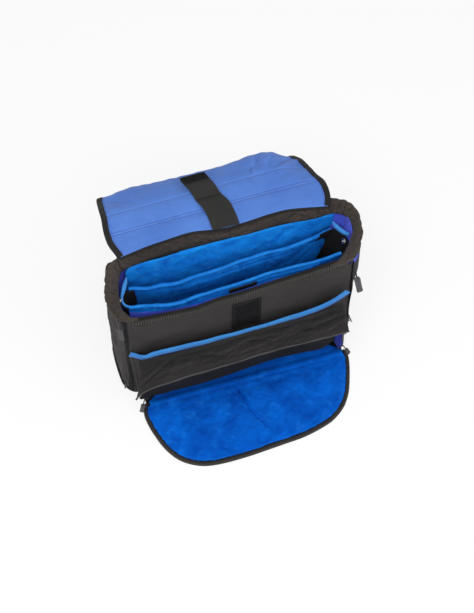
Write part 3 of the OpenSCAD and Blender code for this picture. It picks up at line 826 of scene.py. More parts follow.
def makeBase(b):
    def loop(less):  # a rounded oblong, wider at its left
        (x, y), r = (half - less for half in b["half"]), b["corner"]
        arc = [(x - r + r * math.cos(a), y - r + r * math.sin(a))
               for a in np.linspace(0, np.pi / 2, 8)]
        half = arc + [(-a, b) for a, b in arc[::-1]]
        whole = half + [(a, -b) for a, b in half[::-1]]
        line = lineThrough(whole + whole[:1], 4)
        line[:, 0] -= b["wider"] * ease((-line[:, 0] - 150) / 40) * ease((line[:, 1] + 58) / 30)
        return line
    panelTop = b["height"]
    hold(slab("basePanel", loop(0)[:-1], 8, 0, lambda x, y: panelTop + 0 * x, ["trimNylon"]),
         "bag", "base_panel")
    line = loop(b["weltIn"])
    strand("baseWelt", np.column_stack([line, np.full(len(line), b["weltHeight"])]), b["welt"],
           "trimNylon")


makeWalls(wallSet)
makeFrontWall(frontSet)
makeFrontPatch(patchSet)
makeBase(baseSet)
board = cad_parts["base_board"].data.materials
board.clear()
board.append(finish["baseBoard"])
print("walls, hem, patch and base made")

# Padded roll round the rim: its middle line with its size there, then its section.
# creases: place in X and Y, slant, depth and half width
collarSet = {"line": [(-176, -55.5, 243, 0.3), (-188, -54, 245, 0.55), (-199, -47, 248.5, 0.95),
                      (-206.5, -34, 252, 1.08), (-207.5, -14, 256, 1.12), (-203, 6, 260, 1.1),
                      (-196, 25, 262.5, 1.06), (-187, 39.5, 264, 1), (-170, 47, 264, 1),
                      (-142, 51.5, 263.6, 1), (-97, 57, 263, 1), (-35, 60, 262.8, 1),
                      (33, 55, 262.4, 1), (104, 56, 262.8, 1), (160, 51, 263.6, 1),
                      (198, 50, 264.5, 1), (214, 41, 264, 0.98), (222.5, 23, 262.5, 0.86),
                      (222, 8, 260.5, 0.82), (217.5, -9, 258, 0.88), (208.5, -26, 254.5, 1.04),
                      (196.5, -40.5, 251.5, 1.12), (181, -50, 250.5, 0.9),
                      (167, -54.5, 251.5, 0.5), (154, -56, 252.5, 0.3)],
             "width": 16,
             "height": 26,
             "lean": 34,
             "creases": [(-207, -11, 3, 4.6, 1.5), (-206, -32, -3, 2.4, 2.2),
                         (-201, 12, -4, 2.6, 2.6), (-192, 32, 4, 3.2, 2.2),
                         (-182, 42, 2, 6.4, 1.7), (-171, 47, -3, 2.5, 2.2),
                         (-140, 52, -9, 3.0, 2.2), (-118, 55, 7, 2.0, 2.8), (-86, 58, 8, 2.4, 2.6),
                         (-52, 59, -9, 2.8, 2.4), (8, 57, 8, 2.2, 3), (34, 55, -6, 1.8, 2.2),
                         (62, 56, -9, 2.8, 2.4), (118, 55, 8, 2.8, 2.2), (150, 52, -4, 2.4, 2),
                         (168, 51, 3, 4.2, 1.8), (186, 50.5, -3, 5.6, 1.7), (202, 47, 4, 3.4, 2.2),
                         (215, 38, -3, 4.2, 1.8), (222, 22, 3, 2.4, 2.6), (220, -4, -4, 2.0, 2.8)]}


def makeCollar(c):
    line = lineThrough(c["line"], 2.0)
    path, size = line[:, :3], line[:, 3:]
    section = roundBar(c["width"], c["height"], 2.3, 40)
    a = np.arctan2(section[:, 1], section[:, 0])[None]
    # The roll runs left front, back, right front, so outwards is on its left
    rings = ringsAlong(path, (0, 0, 1), section, size[:, 0], math.radians(c["lean"]))
    outward = unit(rings - path[:, None])
    length = runOf(path)[:, None]
    wander = ripple(length, a * 12, 46, 5) * 0.8 + ripple(length, a * 16, 19, 6) * 0.5
    for wide, seed, deep in ((36, 7, 2.2), (24, 8, 1.8)):  # long wrinkles
        wander = wander - deep * np.exp(-(ripple(length * 0.8, a * 13, wide, seed) / 0.17) ** 2)
    for cx, cy, slant, deep, wide in c["creases"]:
        at = length[np.argmin(np.hypot(path[:, 0] - cx, path[:, 1] - cy)), 0]
        off = (length - at - slant * np.sin(a + 0.6)) / wide
        wander = wander - deep * np.exp(-off**2) * (0.25 + 0.75 * np.clip(np.cos(a - 0.4), 0, 1))
    piece = ringPiece("collarRoll", rings + outward * (wander * np.clip(size, 0, 1))[..., None],
                      "collarNylon")
    hold(piece, "bag", "collar_back", "collar_left", "collar_right")
    # Dark seam where the roll meets the plush, low on its inner side, and its stitches
    side = unit(np.cross(unit(np.gradient(path, axis=0)), (0, 0, 1.0)))
    inwards = side * np.sign(np.sum(side * (np.array([0, 0, 262.0]) - path), 1))[:, None]
    up, keep = np.array([0, 0, 1.0]), slice(24, -24)
    seam = path + inwards * (8.6 * size) - up * 8.6 * size
    strand("collarSeam", seam[keep], (3.6, 3.0, 2, 10), "trimNylon")
    line = path + inwards * (8.3 * size) - up * 2.0 * size
    rows = [(line[keep], (inwards * 0.8 + up * 0.6)[keep])]
    hold(beads("collarStitches", rows, beadLooks["stitch"], "darkThread"), "bag")


makeCollar(collarSet)


# Side linings from the back round to the front: their foot, then the line that is sewn to the roll
liningSet = {"left": {"foot": [(-166, 45.6), (-180, 45), (-189.5, 42), (-192.2, 35), (-192.2, 0),
                               (-192.2, -46)],
                      "top": [(-166, 45, 259), (-180, 44, 259), (-189, 39, 258), (-193, 28, 257),
                              (-198, 8, 254), (-201.5, -14, 250), (-201.5, -32, 246),
                              (-197, -44, 242), (-189, -49, 238)]},
             "right": {"foot": [(184, 45), (190, 42), (192.2, 35), (192.2, 0), (192.2, -46)],
                       "top": [(192, 47, 259), (201, 44, 259), (208, 37, 258), (214, 23, 257),
                               (213.5, 8, 255), (210, -10, 252), (204, -28, 249), (199, -40, 246),
                               (196, -47, 243)]}}


def makeSideLinings(c):
    def even(line, count=56):
        path = lineThrough(line, 1.0)
        at = np.linspace(0, len(path) - 1, count)
        return np.stack([np.interp(at, np.arange(len(path)), k) for k in path.T], 1)[:, None]
    for side, name in bothSides:
        foot, top = even(c[name]["foot"]), even(c[name]["top"])
        s = np.linspace(0, 1, 64)[None]
        z = 8.5 + (top[..., 2] - 8.5) * s
        mix = ease((z - 200) / 58)
        x, y = (foot[..., k] * (1 - mix) + top[..., k] * mix for k in (0, 1))
        wave = np.sin(np.arange(56)[:, None] / 3.1 + 0.5)
        wave = wave * np.sin(np.pi * np.clip(s * 1.02, 0, 1)) ** 0.3
        x = x - side * (1.2 * ripple(y, z, 40, 31 + side) * np.sin(np.pi * s)
                        + (3.4 + side) * ease((z - 200) / 36) * wave)
        cloth(f"{name}Lining", gridOf(x, y, z)[::-side], 1.8, ["innerLining"], "hung", "collarRoll",
              f"side_lining_{name}")


makeSideLinings(liningSet)
# Stuffed pieces: voxel, pressure and cap of the cloth
padLooks = {"back": {"voxel": 4.2,
                     "pressure": 4,
                     "cap": 5,
                     "stiff": 12,
                     "bend": 0.5,
                     "flat": [0, 2]},
            "divider": {"voxel": 3.4,
                        "pressure": 4,
                        "cap": 5,
                        "stiff": 12,
                        "bend": 0.5,
                        "flat": [0, 2]},
            "door": {"voxel": 3.6,
                     "pressure": 4,
                     "cap": 5,
                     "stiff": 12,
                     "bend": 0.5,
                     "flat": [0, 1]}}


def backMiddle(x, z):
    lean = through([(-200, -6), (-171, -5), (-131, -3), (-80, -0.5), (-41, 0.5), (40, 1), (130, 1),
                    (200, 0)], x)
    return 44.6 + lean * ease((z - 120) / 140) - 1.2 * ripple(x, z, 90, 41) * ease((251 - z) / 30)


backPlushSet = {"x": (-171, 187), "z": (12, 251), "thick": 6.4, "rear": 49.4, "margin": 3,
                "fill": 0.5}


def makeBackPlush(b):
    (x0, x1), (z0, z1), m = b["x"], b["z"], b["margin"]
    x, z = np.meshgrid(np.linspace(x0, x1, 92), np.linspace(z0, z1, 61), indexing="ij")
    x = x + 9 * ease((x - 140) / 47) * ease((z - 190) / 50)  # it follows the rim out at its right
    # its lighter plush is painted light
    start = panel("backPlushPad", gridOf(x, backMiddle(x, z), z), b["thick"], ["backPlush"])

    def held(p):
        return (p[:, 0] < x0 + m) | (p[:, 0] > x1 - m) | (p[:, 2] > z1 - m) | (p[:, 2] < z0 + m + 1)

    def shape(p):
        face = p[:, 1] < backMiddle(p[:, 0], p[:, 2])
        p[:, 1] = np.minimum(p[:, 1], b["rear"])
        uneven = 0.15 * ripple(p[:, 0], p[:, 2], 11, 42) + 0.6 * ripple(p[:, 0], p[:, 2], 34, 43)
        p[:, 1] -= np.where(face, uneven, 0)
        return p
    piece = puff(start, padLooks["back"], held, shape=shape)
    hold(piece, "bag", "back_lining", "back_foam")


# Dividers: where their top edge runs, as an offset from the straight middle
rearWave = [(-190, 4), (-166, 1), (-137, -5), (-110, -8), (-52, -6), (37, 1), (100, 3), (127, 4),
            (160, 9), (188, 14)]
frontWave = [(-190, 10), (-180, 7), (-165, 4.5), (-151, 1), (-121, -7), (-100, -7.5), (-66, -2.5),
             (-15, -1), (37, 2.5), (105, 5), (160, 4), (190, 6)]


def rearMiddle(x, z):
    wave = through(rearWave, x) * ease(z / 240) ** 1.4
    return 12 + wave + 1.2 * ripple(x, z * 0.7, 60, 51) * ease(z / 60)


def frontMiddle(x, z):
    wave = through(frontWave, x) * ease(z / 245) ** 1.4
    return -35.6 + wave + 0.8 * ripple(x, z * 0.7, 60, 52) * ease(z / 60)


def rearTop(x):
    return 228.5 + 1.2 * np.sin(x / 41) + 6 * ease((x - 120) / 66) - 3 * ease((-x - 120) / 60)


def frontTopEdge(x):
    return 239 + 0.9 * np.sin(x / 33) + 2.5 * ease((np.abs(x) - 150) / 36)


dividerSet = {"rear": {"x": (-174, 185), "thick": 5.4, "slant": 27, "inner": []},
              "front": {"x": (-184, 184), "thick": 4.8, "slant": 0, "inner": ["innerLining"]},
              "foot": 10, "fill": 0.4, "patch": {"x": (-16, 32), "z": (197, 236), "thick": 1.8}}


def makeDividers(d):
    for name, middle, top in (("rear", rearMiddle, rearTop),
                              ("front", frontMiddle, frontTopEdge)):
        (low, high), thick, slant, inner = d[name].values()
        x = np.linspace(low, high, 110)[:, None]
        z = d["foot"] + (top(x) - d["foot"]) * np.linspace(0, 1, 70)[None]
        # The rear one's right end slants in towards the bottom
        x = x - slant * ease((x - 70) / 100) * np.clip((231 - z) / 58, 0, 1)
        start = panel(name + "Divider", gridOf(x, middle(x, z), z), thick, ["dividerPlush"] + inner)

        def held(p):
            return (p[:, 0] < low + 3) | (p[:, 0] > high - 3 - slant) | (p[:, 2] < d["foot"] + 4)

        def shape(p):
            away = p[:, 1] - middle(p[:, 0], p[:, 2])
            p[:, 1] += np.sign(away) * 0.15 * ripple(p[:, 0], p[:, 2], 10, 44)
            rim = top(p[:, 0]) - p[:, 2]
            # The seam under its rolled edge
            p[:, 1] -= away * 0.42 * np.exp(-((rim - 10) / 2.0) ** 2)
            return p

        def dress(centre, facing):
            return np.where((facing[:, 1] < -0.2) & (centre[:, 2] < top(centre[:, 0]) - 13), 1, 0)
        piece = puff(start, padLooks["divider"], held, dress if inner else None, shape)
        hold(piece, "bag", "divider_" + name)
        # Rolled edge along its top, its lighter plush a painted highlight
        xs = np.linspace(low + 1, high - 1, 130)
        edge = np.stack([xs, middle(xs, top(xs)), top(xs) - 0.2 + 0.35 * np.sin(xs / 7)], 1)
        strand(name + "DividerEdge", edge, (thick + 0.9, 4.6, 2.2, 16), "edgePlush")
    # Small patch on the front divider
    patch = d["patch"]
    x, z = np.meshgrid(np.linspace(*patch["x"], 24), np.linspace(*patch["z"], 18), indexing="ij")
    hold(panel("dividerPatch", gridOf(x, frontMiddle(x, z) - 5.4, z), patch["thick"], ["loopPile"]),
         "bag", "divider_patch")


makeBackPlush(backPlushSet)
makeDividers(dividerSet)


sleeveSet = {"right": [(163, 19), (173, 21), (184, 21), (192, 12), (196, 0), (197, -13),
                       (192, -24), (183, -31)],
             "left": [(167, 9), (176, 6), (185, -1), (189.5, -10), (190.2, -18), (187, -25),
                      (181, -29)],
             "strips": {"right": [(188.4, 30, 246.8, 0.5), (190, 24, 246, 0.95),
                                  (194.5, 15, 245, 1.05), (200.5, 5, 245.3, 1),
                                  (206, -2, 247, 0.7)],
                        "left": [(-173.5, 26, 245, 0.5), (-176.5, 19, 244.4, 0.95),
                                 (-181, 10.7, 244, 1.15), (-185.5, 2, 243.2, 0.95),
                                 (-189.7, -6, 242.5, 0.7), (-191.4, -13, 242, 0.6),
                                 (-190.4, -20, 241.5, 0.6), (-186.5, -25, 240.5, 0.6),
                                 (-179, -28.5, 239.5, 0.6)]},
             "band": (6.2, 9)}


def makeSleeveEnds(e):
    for side, name in bothSides:
        # Black bellows between the dividers' ends, turned out to the rim at the top
        path = lineThrough(np.array(e[name], float) * (side, 1), 2.2)[:, None]
        s = np.linspace(0, 1, 64)[None]
        t = np.linspace(0, 1, len(path))[:, None]
        free = np.sin(np.pi * np.clip(t * 1.15 - 0.1, 0, 1)) ** 0.6
        z = 12 + ((236 + 4 * free if side > 0 else 229 + 10 * free) - 12) * s
        fold = 4 * np.sin(np.pi * t) * np.sin(z / 26 + 2.5 * t) * ease((215 - z) / 60)
        inward = 25 * ease((0.45 - t) / 0.45) * np.clip((231 - z) / 58, 0, 1) * (side > 0)
        flare = 5 * ease((z - 229) / 9) * free
        clear = (10 if side > 0 else 4) * (1 - ease((z - 195) / 40))  # keeps it inside the lining
        x = path[..., 0] - side * (fold + inward + clear - flare)
        cloth(f"{name}Bellows", gridOf(x, path[..., 1], z)[::side], 1.8, ["bellowsNylon"], "folded",
              f"{name}Lining", f"bellows_{name}")
        # Bright band that ties the rear divider's end to the side
        line = lineThrough(e["strips"][name], 2)
        strand(f"{name}EdgeStrip", line[:, :3], (*e["band"], 2.6, 16), "brightBinding",
               size=line[:, 3])


makeSleeveEnds(sleeveSet)


def lathe(name, profile, centre, axis, material, count=28):
    # profile: (distance from the axis, height along it), from its foot to its top
    axis = unit(np.array(axis, float))
    side = unit(np.cross(axis, [0.31, 0.2, 0.93]))
    a = np.linspace(0, 2 * np.pi, count, endpoint=False)[:, None]
    ring = np.cos(a) * side + np.sin(a) * np.cross(axis, side)
    out, up = np.array(profile, float).T[..., None, None]
    return ringPiece(name, np.array(centre) + out * ring + up * axis, material)


def joined(name, pieces):  # several parts of one piece, as one mesh
    bpy.ops.object.select_all(action="DESELECT")
    for p in pieces:
        p.select_set(True)
    bpy.context.view_layer.objects.active = pieces[0]
    bpy.ops.object.join()
    pieces[0].name = pieces[0].data.name = name
    return pieces[0]


snapSet = {"radius": 5.0, "places": ((-194, -12, 242.5), (194.5, -9, 241.5))}


def makeSnaps(s):
    r = s["radius"]
    profile = [(0.01, 0), (r, 0), (r + 0.3, 0.5), (r, 1.1), (r * 0.82, 1.3), (r * 0.7, 0.95),
               (r * 0.5, 0.9),
               (r * 0.44, 1.3), (r * 0.4, 2.4), (r * 0.45, 3.0), (r * 0.3, 3.5), (0.01, 3.6)]
    studs = [lathe(f"stud{k}", profile, place, (1 if place[0] < 0 else -1, 0, 0.6), "snapSteel")
             for k, place in enumerate(s["places"])]
    hold(joined("rimSnaps", studs), "bag", "rim_snaps")


makeSnaps(snapSet)
print("collar, linings, dividers and snaps made")

# Front pocket
slipSet = {"half": 182,
           "thick": 2.2,
           "band": 14,
           "top": [(-197, 149), (-190, 147), (-182, 147), (-172, 151.5), (-162, 156.5),
                   (-150, 157.5), (-134, 157.5), (-103, 154.5), (-87, 153.5), (-56, 152),
                   (-8, 151.5), (24, 152), (56, 155), (104, 161), (136, 165), (152, 167.5),
                   (168, 172), (178, 178), (187, 186)]}
slipFolds = [(-150, 40, -60, 90, 8, 2), (30, 110, 140, 60, 9, -2), (-40, 120, 60, 130, 9, 1.6)]


def slipTop(x):  # the bound edge, whose ends curl up
    return through(slipSet["top"], x)


def slipFace(x, z):  # Y of the slip panel's middle
    gape = -59 - 15.6 * np.clip((z - 5) / 155, 0, 1.2)
    ends = ease((x - 120) / 66) * 8 + ease((-x - 168) / 28) * 15
    return gape + ends * ease((z - 30) / 100) - folds(x, z, slipFolds)


def makeSlipPanel(p):
    s = np.linspace(0, 1, 44)[None]
    x = np.linspace(-p["half"], p["half"], 114)[:, None]
    x = x - (6 + 8 * s) * ease((-x - 130) / 52)
    z = 5.6 + (slipTop(x) - 5 - 5.6) * s
    cloth("slipPanel", gridOf(x, slipFace(x, z), z), p["thick"], ["outerNylon", "innerLining"],
          "hung", "bodyWalls", "slip_panel")
    xs = np.arange(-p["half"] - 14, p["half"] + 3.1, 3.0)
    z = slipTop(xs) - p["band"] / 2
    path = np.stack([xs, slipFace(xs, z), z], 1)
    rings = ringsAlong(path, (0, -0.1, 1), roundBar(4.4, p["band"], 3.4, 22))
    rings[..., 1] += 0.3 * np.sin(xs / 9)[:, None]
    hold(ringPiece("slipBinding", rings, "brightBinding"), "bag", "slip_binding")
    low = path + np.array([0, -2.25, -p["band"] / 2 + 1.8])
    sewn("slipBindingStitches", [low[2:-2]], (0, -1, 0), material="blueThread")


floorSet = {"half": 181, "y": (-84.6, -53), "low": 0.2, "height": 3.4, "wave": 0.5}


def makePocketFloor(f):
    half, (front, back) = f["half"], f["y"]
    corners = [(-half, front), (half, front), (half, back), (-half, back), (-half, front)]
    outline = np.concatenate([lineThrough(pair, 5)[:-1] for pair in zip(corners, corners[1:])])

    def height(x, y):
        return f["height"] + f["wave"] * np.sin(x / 17) * np.sin((y - back) / 10)
    # Its top in the black bellows nylon is painted shade for the dark inside of the pocket
    hold(slab("pocketFloor", outline, 7, f["low"], height, ["bellowsNylon", "outerNylon"]),
         "bag", "pocket_floor")


gussetSet = {"foot": 4.6, "tall": {"left": 116, "right": 130}, "thick": 1.8, "half": 173,
             "reach": [(0, 17), (0.3, 27), (0.55, 30), (0.8, 22), (1, 6)]}


def makeGussets(g):
    for side, name in bothSides:
        t = np.linspace(0, 1, 18)[:, None]
        s = np.linspace(0, 1, 44)[None]
        z = g["foot"] + g["tall"][name] * s
        y = slipFace(side * g["half"], z) - 1.6 - through(g["reach"], s) * t
        x = side * (173.6 + 4.5 * np.sin(np.pi * t) * np.sin(np.pi * s)
                    + 2.2 * np.sin(s * 15 + t * 3) * t)
        cloth(f"{name}Gusset", gridOf(x, y, z)[:, ::-1], g["thick"],
              ["bellowsNylon", "bellowsNylon"] if side < 0 else ["outerNylon", "innerLining"],
              "gathered", "pocketFloor", f"pocket_gusset_{name}")


roofSet = {"half": 175,
           "seam": (-76.36, 147),
           "edge": (-112.1, 118.05),
           "thick": 2.0,
           "lip": [(-176, 31), (-100, 32), (0, 29), (90, 32), (150, 34)],
           "rear": [(-190, 148), (-165, 145), (-134, 140.5), (-103, 140.5), (-71, 141), (-8, 143),
                    (56, 145), (104, 146), (136, 148), (152, 150), (168, 156), (184, 166)],
           "front": [(-176, 84), (-170, 96), (-160, 107), (-145, 111.5), (-125, 113), (-99, 115),
                     (-63, 118), (-10, 121.5), (42, 124), (87, 124), (135, 122), (165, 121),
                     (190, 119)]}
roofFolds = [(-172, 38, -146, 16, 2.6, -5.5), (-146, 16, -112, 7, 2.8, -5.5),
             (-168, 30, -140, 10, 3.0, 5.0), (-112, 7, -76, 10, 2.8, -4.5),
             (-140, 24, -96, 20, 6, 4.0), (-84, 16, -40, 30, 3, -4.2), (-60, 22, 10, 10, 3.2, 4.6),
             (-52, 12, -6, 6, 2.6, -4.2), (-20, 30, 60, 22, 4, 3.8), (0, 14, 40, 26, 2.8, -4.8),
             (30, 12, 66, 18, 2.8, 4.2), (44, 6, 84, 12, 2.6, -4.0), (66, 14, 110, 8, 3, 4.8),
             (70, 28, 150, 22, 2.8, -4.4), (100, 6, 140, 14, 2.4, -3.6),
             (110, 18, 168, 12, 3, 4.4), (130, 34, 172, 22, 3.4, 3.6), (-40, 38, 40, 36, 3, 2.4),
             (90, 20, 124, 30, 2.8, -3.8), (-110, 8, 10, 6, 3.6, -4.4), (36, 7, 166, 9, 4.6, -6.0),
             (84, 17, 166, 20, 3.4, -3.4)]


def roofEnds(x):  # how far the left end hangs out and down over the pocket's side
    return ease((-x - 140) / 35)


def makeRoof(r):
    (y0, z0), (y1, z1) = r["seam"], r["edge"]
    x = np.linspace(-r["half"], r["half"], 190)[:, None]
    s = np.linspace(0, 1, 32)[None]
    run = math.hypot(y1 - y0, z1 - z0)
    slope = np.array([y1 - y0, z1 - z0]) / run
    puffed = np.sin(np.pi * s) ** 0.9 * (
        2.5 + folds(x, run * s, roofFolds) + 1.1 * ripple(x, run * s * 2.4, 24, 71)
        + 0.4 * ripple(x, run * s * 1.5, 11, 72))
    y = y0 + (y1 - y0) * s + puffed * slope[1]
    z = through(r["rear"], x) * (1 - s) + through(r["front"], x) * s - puffed * slope[0]
    grid = gridOf(x - (12 + 15 * s**2) * roofEnds(x), y, z)[:, ::-1]
    # the roof's nylon is darkened: painted shade
    piece = panel("pocketRoof", grid, r["thick"], ["roofNylon", "innerLining"])
    flatSize(grid)
    bend(piece, "bag", "pocket_roof", (y0, z0), (y0 - 8, z0 - 6.5), "pocket_roof")
    xs = np.linspace(-r["half"] - 1, r["half"] + 1, 110)
    front = through(r["front"], xs) + 0.9 * np.sin(xs / 23) + 0.6 * np.sin(xs / 9 + 1)
    path = np.stack([xs - 27 * roofEnds(xs), np.full_like(xs, y1), front], 1)
    # the piping's lighter grey is partly a painted highlight
    strand("roofPiping", path, (3.4, 3.4, 2, 12), "pipingNylon", "pocket_roof", "roof_piping")
    # Lip that hangs from the roof's edge, with rounded ends
    u = np.linspace(-1, 1, 120)[:, None]
    s = np.linspace(0, 1, 16)[None]
    cut = 1 - np.sqrt(np.clip(1 - s**2, 0, 1))
    x = u * np.where(u < 0, r["half"] - 2 - 26 * cut, 146 - 30 * cut)
    y = y1 - 1.2 + 2.2 * s * np.sin(x / 37) + 1.5 * s
    z = through(r["front"], x) - 1.6 - through(r["lip"], x) * s
    grid = gridOf(x - 24 * roofEnds(x), y, z)[:, ::-1]
    lip = panel("pocketLip", grid, 2.0, ["bellowsNylon"])
    flatSize(grid)
    bend(lip, "pocket_roof", "pocket_lip", (y1, z1 - 1), (y1, z1 - 7), "pocket_lip")


makeSlipPanel(slipSet)
makePocketFloor(floorSet)
makeGussets(gussetSet)
makeRoof(roofSet)
print("front pocket made")

# Door of the front pocket, lying on the ground
doorSet = {"outline": [(-184, -82), (-188.5, -92), (-190.5, -103), (-190, -114), (-187.5, -130),
                       (-183, -148), (-176, -170), (-167, -188), (-156, -203), (-143, -214),
                       (-130, -221.5), (-117, -226.5), (-102, -229.5), (-86, -231), (-62, -231.5),
                       (-38, -231), (-6, -229), (28, -226.5), (61, -224), (96, -216.5),
                       (116, -210), (136, -198), (148, -187.5), (157, -176), (165, -163),
                       (171, -149), (177, -133), (183, -115), (187, -99), (188, -82)],
           "hinge": [(-176, -82), (-166, -74), (-130, -67), (-88, -64), (0, -61), (60, -59),
                     (130, -61), (161, -65), (179, -80)]}

doorCreases = [(-22, -92, -10, -150, 3.0, -7.0), (-10, -150, 12, -196, 3.4, -5.6),
               (36, -100, 46, -132, 4, -2.6), (-150, -112, 150, -102, 7, -1.6),
               (-120, -128, -40, -120, 6, -1.0), (60, -190, 130, -160, 9, -1.6),
               (-60, -205, 10, -176, 12, 1.2), (90, -120, 120, -170, 8, 1.0),
               (-140, -150, -80, -196, 10, 1.2)]


def inset(line, distance):  # moves an open line to its left
    t = unit(np.gradient(line, axis=0))
    return line + np.stack([-t[:, 1], t[:, 0]], 1) * distance


def makeDoor(d):
    edge = lineThrough(d["outline"], 3.5)

    def closed(line):  # a straight row of points joins its two ends
        return np.concatenate([line, lineThrough([line[-1], line[0]], 5)[1:-1]])

    def along(distance, height):
        return np.column_stack([inset(edge, distance), height + np.zeros(len(edge))])
    hold(slab("doorShell", closed(edge), 7, 0, lambda x, y: 3.6 + 0.35 * ripple(x, y, 60, 81),
              ["outerNylon"]),
         "door", "door_shell")
    strand("doorRim", along(1.6, 4.2 + 0.4 * np.sin(np.arange(len(edge)) / 3.3)),
           (3.2, 5.2, 2.4, 14), "outerNylon", "door")
    strand("doorZipTape", along(4.9, 5.4), (6.0, 1.4, 4, 12), "bellowsNylon", "door", "door_zip")
    sewn("doorZipCoil", [along(4.4, 6.5)], (0, 0, 1), "coil", "coilNylon", "door")
    sewn("doorStitches", [along(2.4, 6.5)[2:-2]], (0, 0, 1), body="door")
    # Plush pad inside the zip
    border = inset(edge, 6.2)
    ring = np.array(closed(border[border[:, 1] < -87]))

    def away(x, y):
        return np.min(np.linalg.norm(np.stack([x, y], 1)[:, None] - ring[None], axis=2), axis=1)

    def height(x, y):
        return 7.8 + 2.2 * np.sqrt(np.clip(away(x, y) / 26, 0, 1))
    start = slab("doorPad", ring, 5, 3.2, height, ["doorPlush"])

    def shape(p):
        top = ease((p[:, 2] - 5.5) / 3)
        inner = ease(away(p[:, 0], p[:, 1]) / 10) * ease((-93 - p[:, 1]) / 12)
        p[:, 2] += top * inner * (folds(p[:, 0], p[:, 1], doorCreases)
                                  + 0.9 * ripple(p[:, 0], p[:, 1], 60, 82)
                                  + 0.4 * ripple(p[:, 0], p[:, 1], 13, 83))
        p[:, 2] = np.clip(p[:, 2], 4.2, 14.5)
        return p

    def held(p):
        return (p[:, 2] < 5) | (away(p[:, 0], p[:, 1]) < 2.5) | (p[:, 1] > -99)
    pad = puff(start, padLooks["door"], held, shape=shape)
    hold(pad, "door", "door_pad")
    # Plush that runs on from the pocket's floor over the hinge
    t = np.linspace(0, 1, 20)[None]
    x = np.linspace(-175, 178, 110)[:, None]
    rear = through(d["hinge"], x)
    y = rear + (-98 - rear) * t
    z = 5.6 + 3.9 * ease((-76 - y) / 12) - 2.8 * ease((-88 - y) / 10)
    z = z + 0.3 * np.sin(x / 11) * (1 - t)
    thick = 1.8 - 1.1 * ease((t - 0.6) / 0.4)
    hinge = panel("doorHinge", gridOf(x, y, z)[:, ::-1], thick[:, ::-1],
                  ["doorPlush", "bellowsNylon"])
    bend(hinge, "bag", "door", (-80, 4), (-88, 4))


makeDoor(doorSet)
print("door made")

# Flap, thrown back: its middle line in Y and Z, and its edges by length along it
flapSet = {"quilting": (33.4, 38.6, 73, 190),
           "dense": [31, 32.2, 33.4, 34.6, 37.4, 38.6, 39.8, 41, 70.5, 71.8, 73, 74.2, 75.5],
           "chain": [(57, 279.1), (129.5, 289.5), (184.5, 269.8), (190, 145.6), (216, 33.0)],
           "left": [(-8, 176), (0, 179), (23, 187.5), (40, 188.5), (73, 185.5), (100, 184),
                    (128, 181), (150, 175), (190, 171), (250, 162), (300, 157), (370, 150)],
           "right": [(-8, 182), (0, 186), (12, 190.5), (28, 191), (50, 183.5), (75, 177.5),
                     (100, 172), (125, 164), (150, 161), (190, 165), (250, 168), (370, 162)],
           "rightEdge": [(-8, 49, 278), (0, 57, 279.1), (28, 84.8, 282.5), (50, 104, 278.5),
                         (75, 127.5, 273), (100, 152, 266.5), (125, 170, 255), (150, 182, 232),
                         (175, 187.5, 204), (200, 190, 178), (225, 191, 153)],
           "root": [(-190, 46), (-150, 54), (-120, 58.5), (-96, 60.5), (-75, 62.6), (-53, 63.5),
                    (-30, 60.5), (-16, 57.5), (3, 55), (29, 55.5), (51, 57), (82, 59.7),
                    (118, 59.5), (141, 55.5), (169, 49), (195, 44)],
           "crown": [(-190, 0), (-168, 0.5), (-122, 1.5), (-61, -1.5), (6, -1), (40, 0), (65, 2),
                     (92, 4.5), (117, 4.5), (140, 2), (190, 0)],
           "shear": [(-8, 0), (0, 0), (36, 0.02), (73, 0.03), (128, 0.012), (190, 0), (370, 0)],
           "thick": 4.4,
           "corner": 42,
           "cuts": (-4, 36, 100, 188, 366)}
flapFolds = [(96, 78, 128, 124, 5, 3.2), (74, 80, 108, 122, 5, -2.8), (118, 76, 160, 112, 5, -3.0),
             (84, 76, 90, 116, 4, 2.2), (134, 78, 168, 100, 5, 2.6), (120, 44, 170, 62, 6, 1.8),
             (-186, 96, -150, 76, 5, 2.0), (-172, 112, -120, 84, 6, -1.8),
             (-150, 90, -60, 112, 12, 1.6), (-178, 60, -120, 74, 8, 1.0),
             (-60, 84, 20, 96, 14, -1.2), (20, 20, 120, 30, 12, 0.8),
             (-150, 150, -20, 210, 14, 2.4), (40, 160, 120, 240, 12, -2.4),
             (-120, 260, 60, 300, 16, 2.0)]


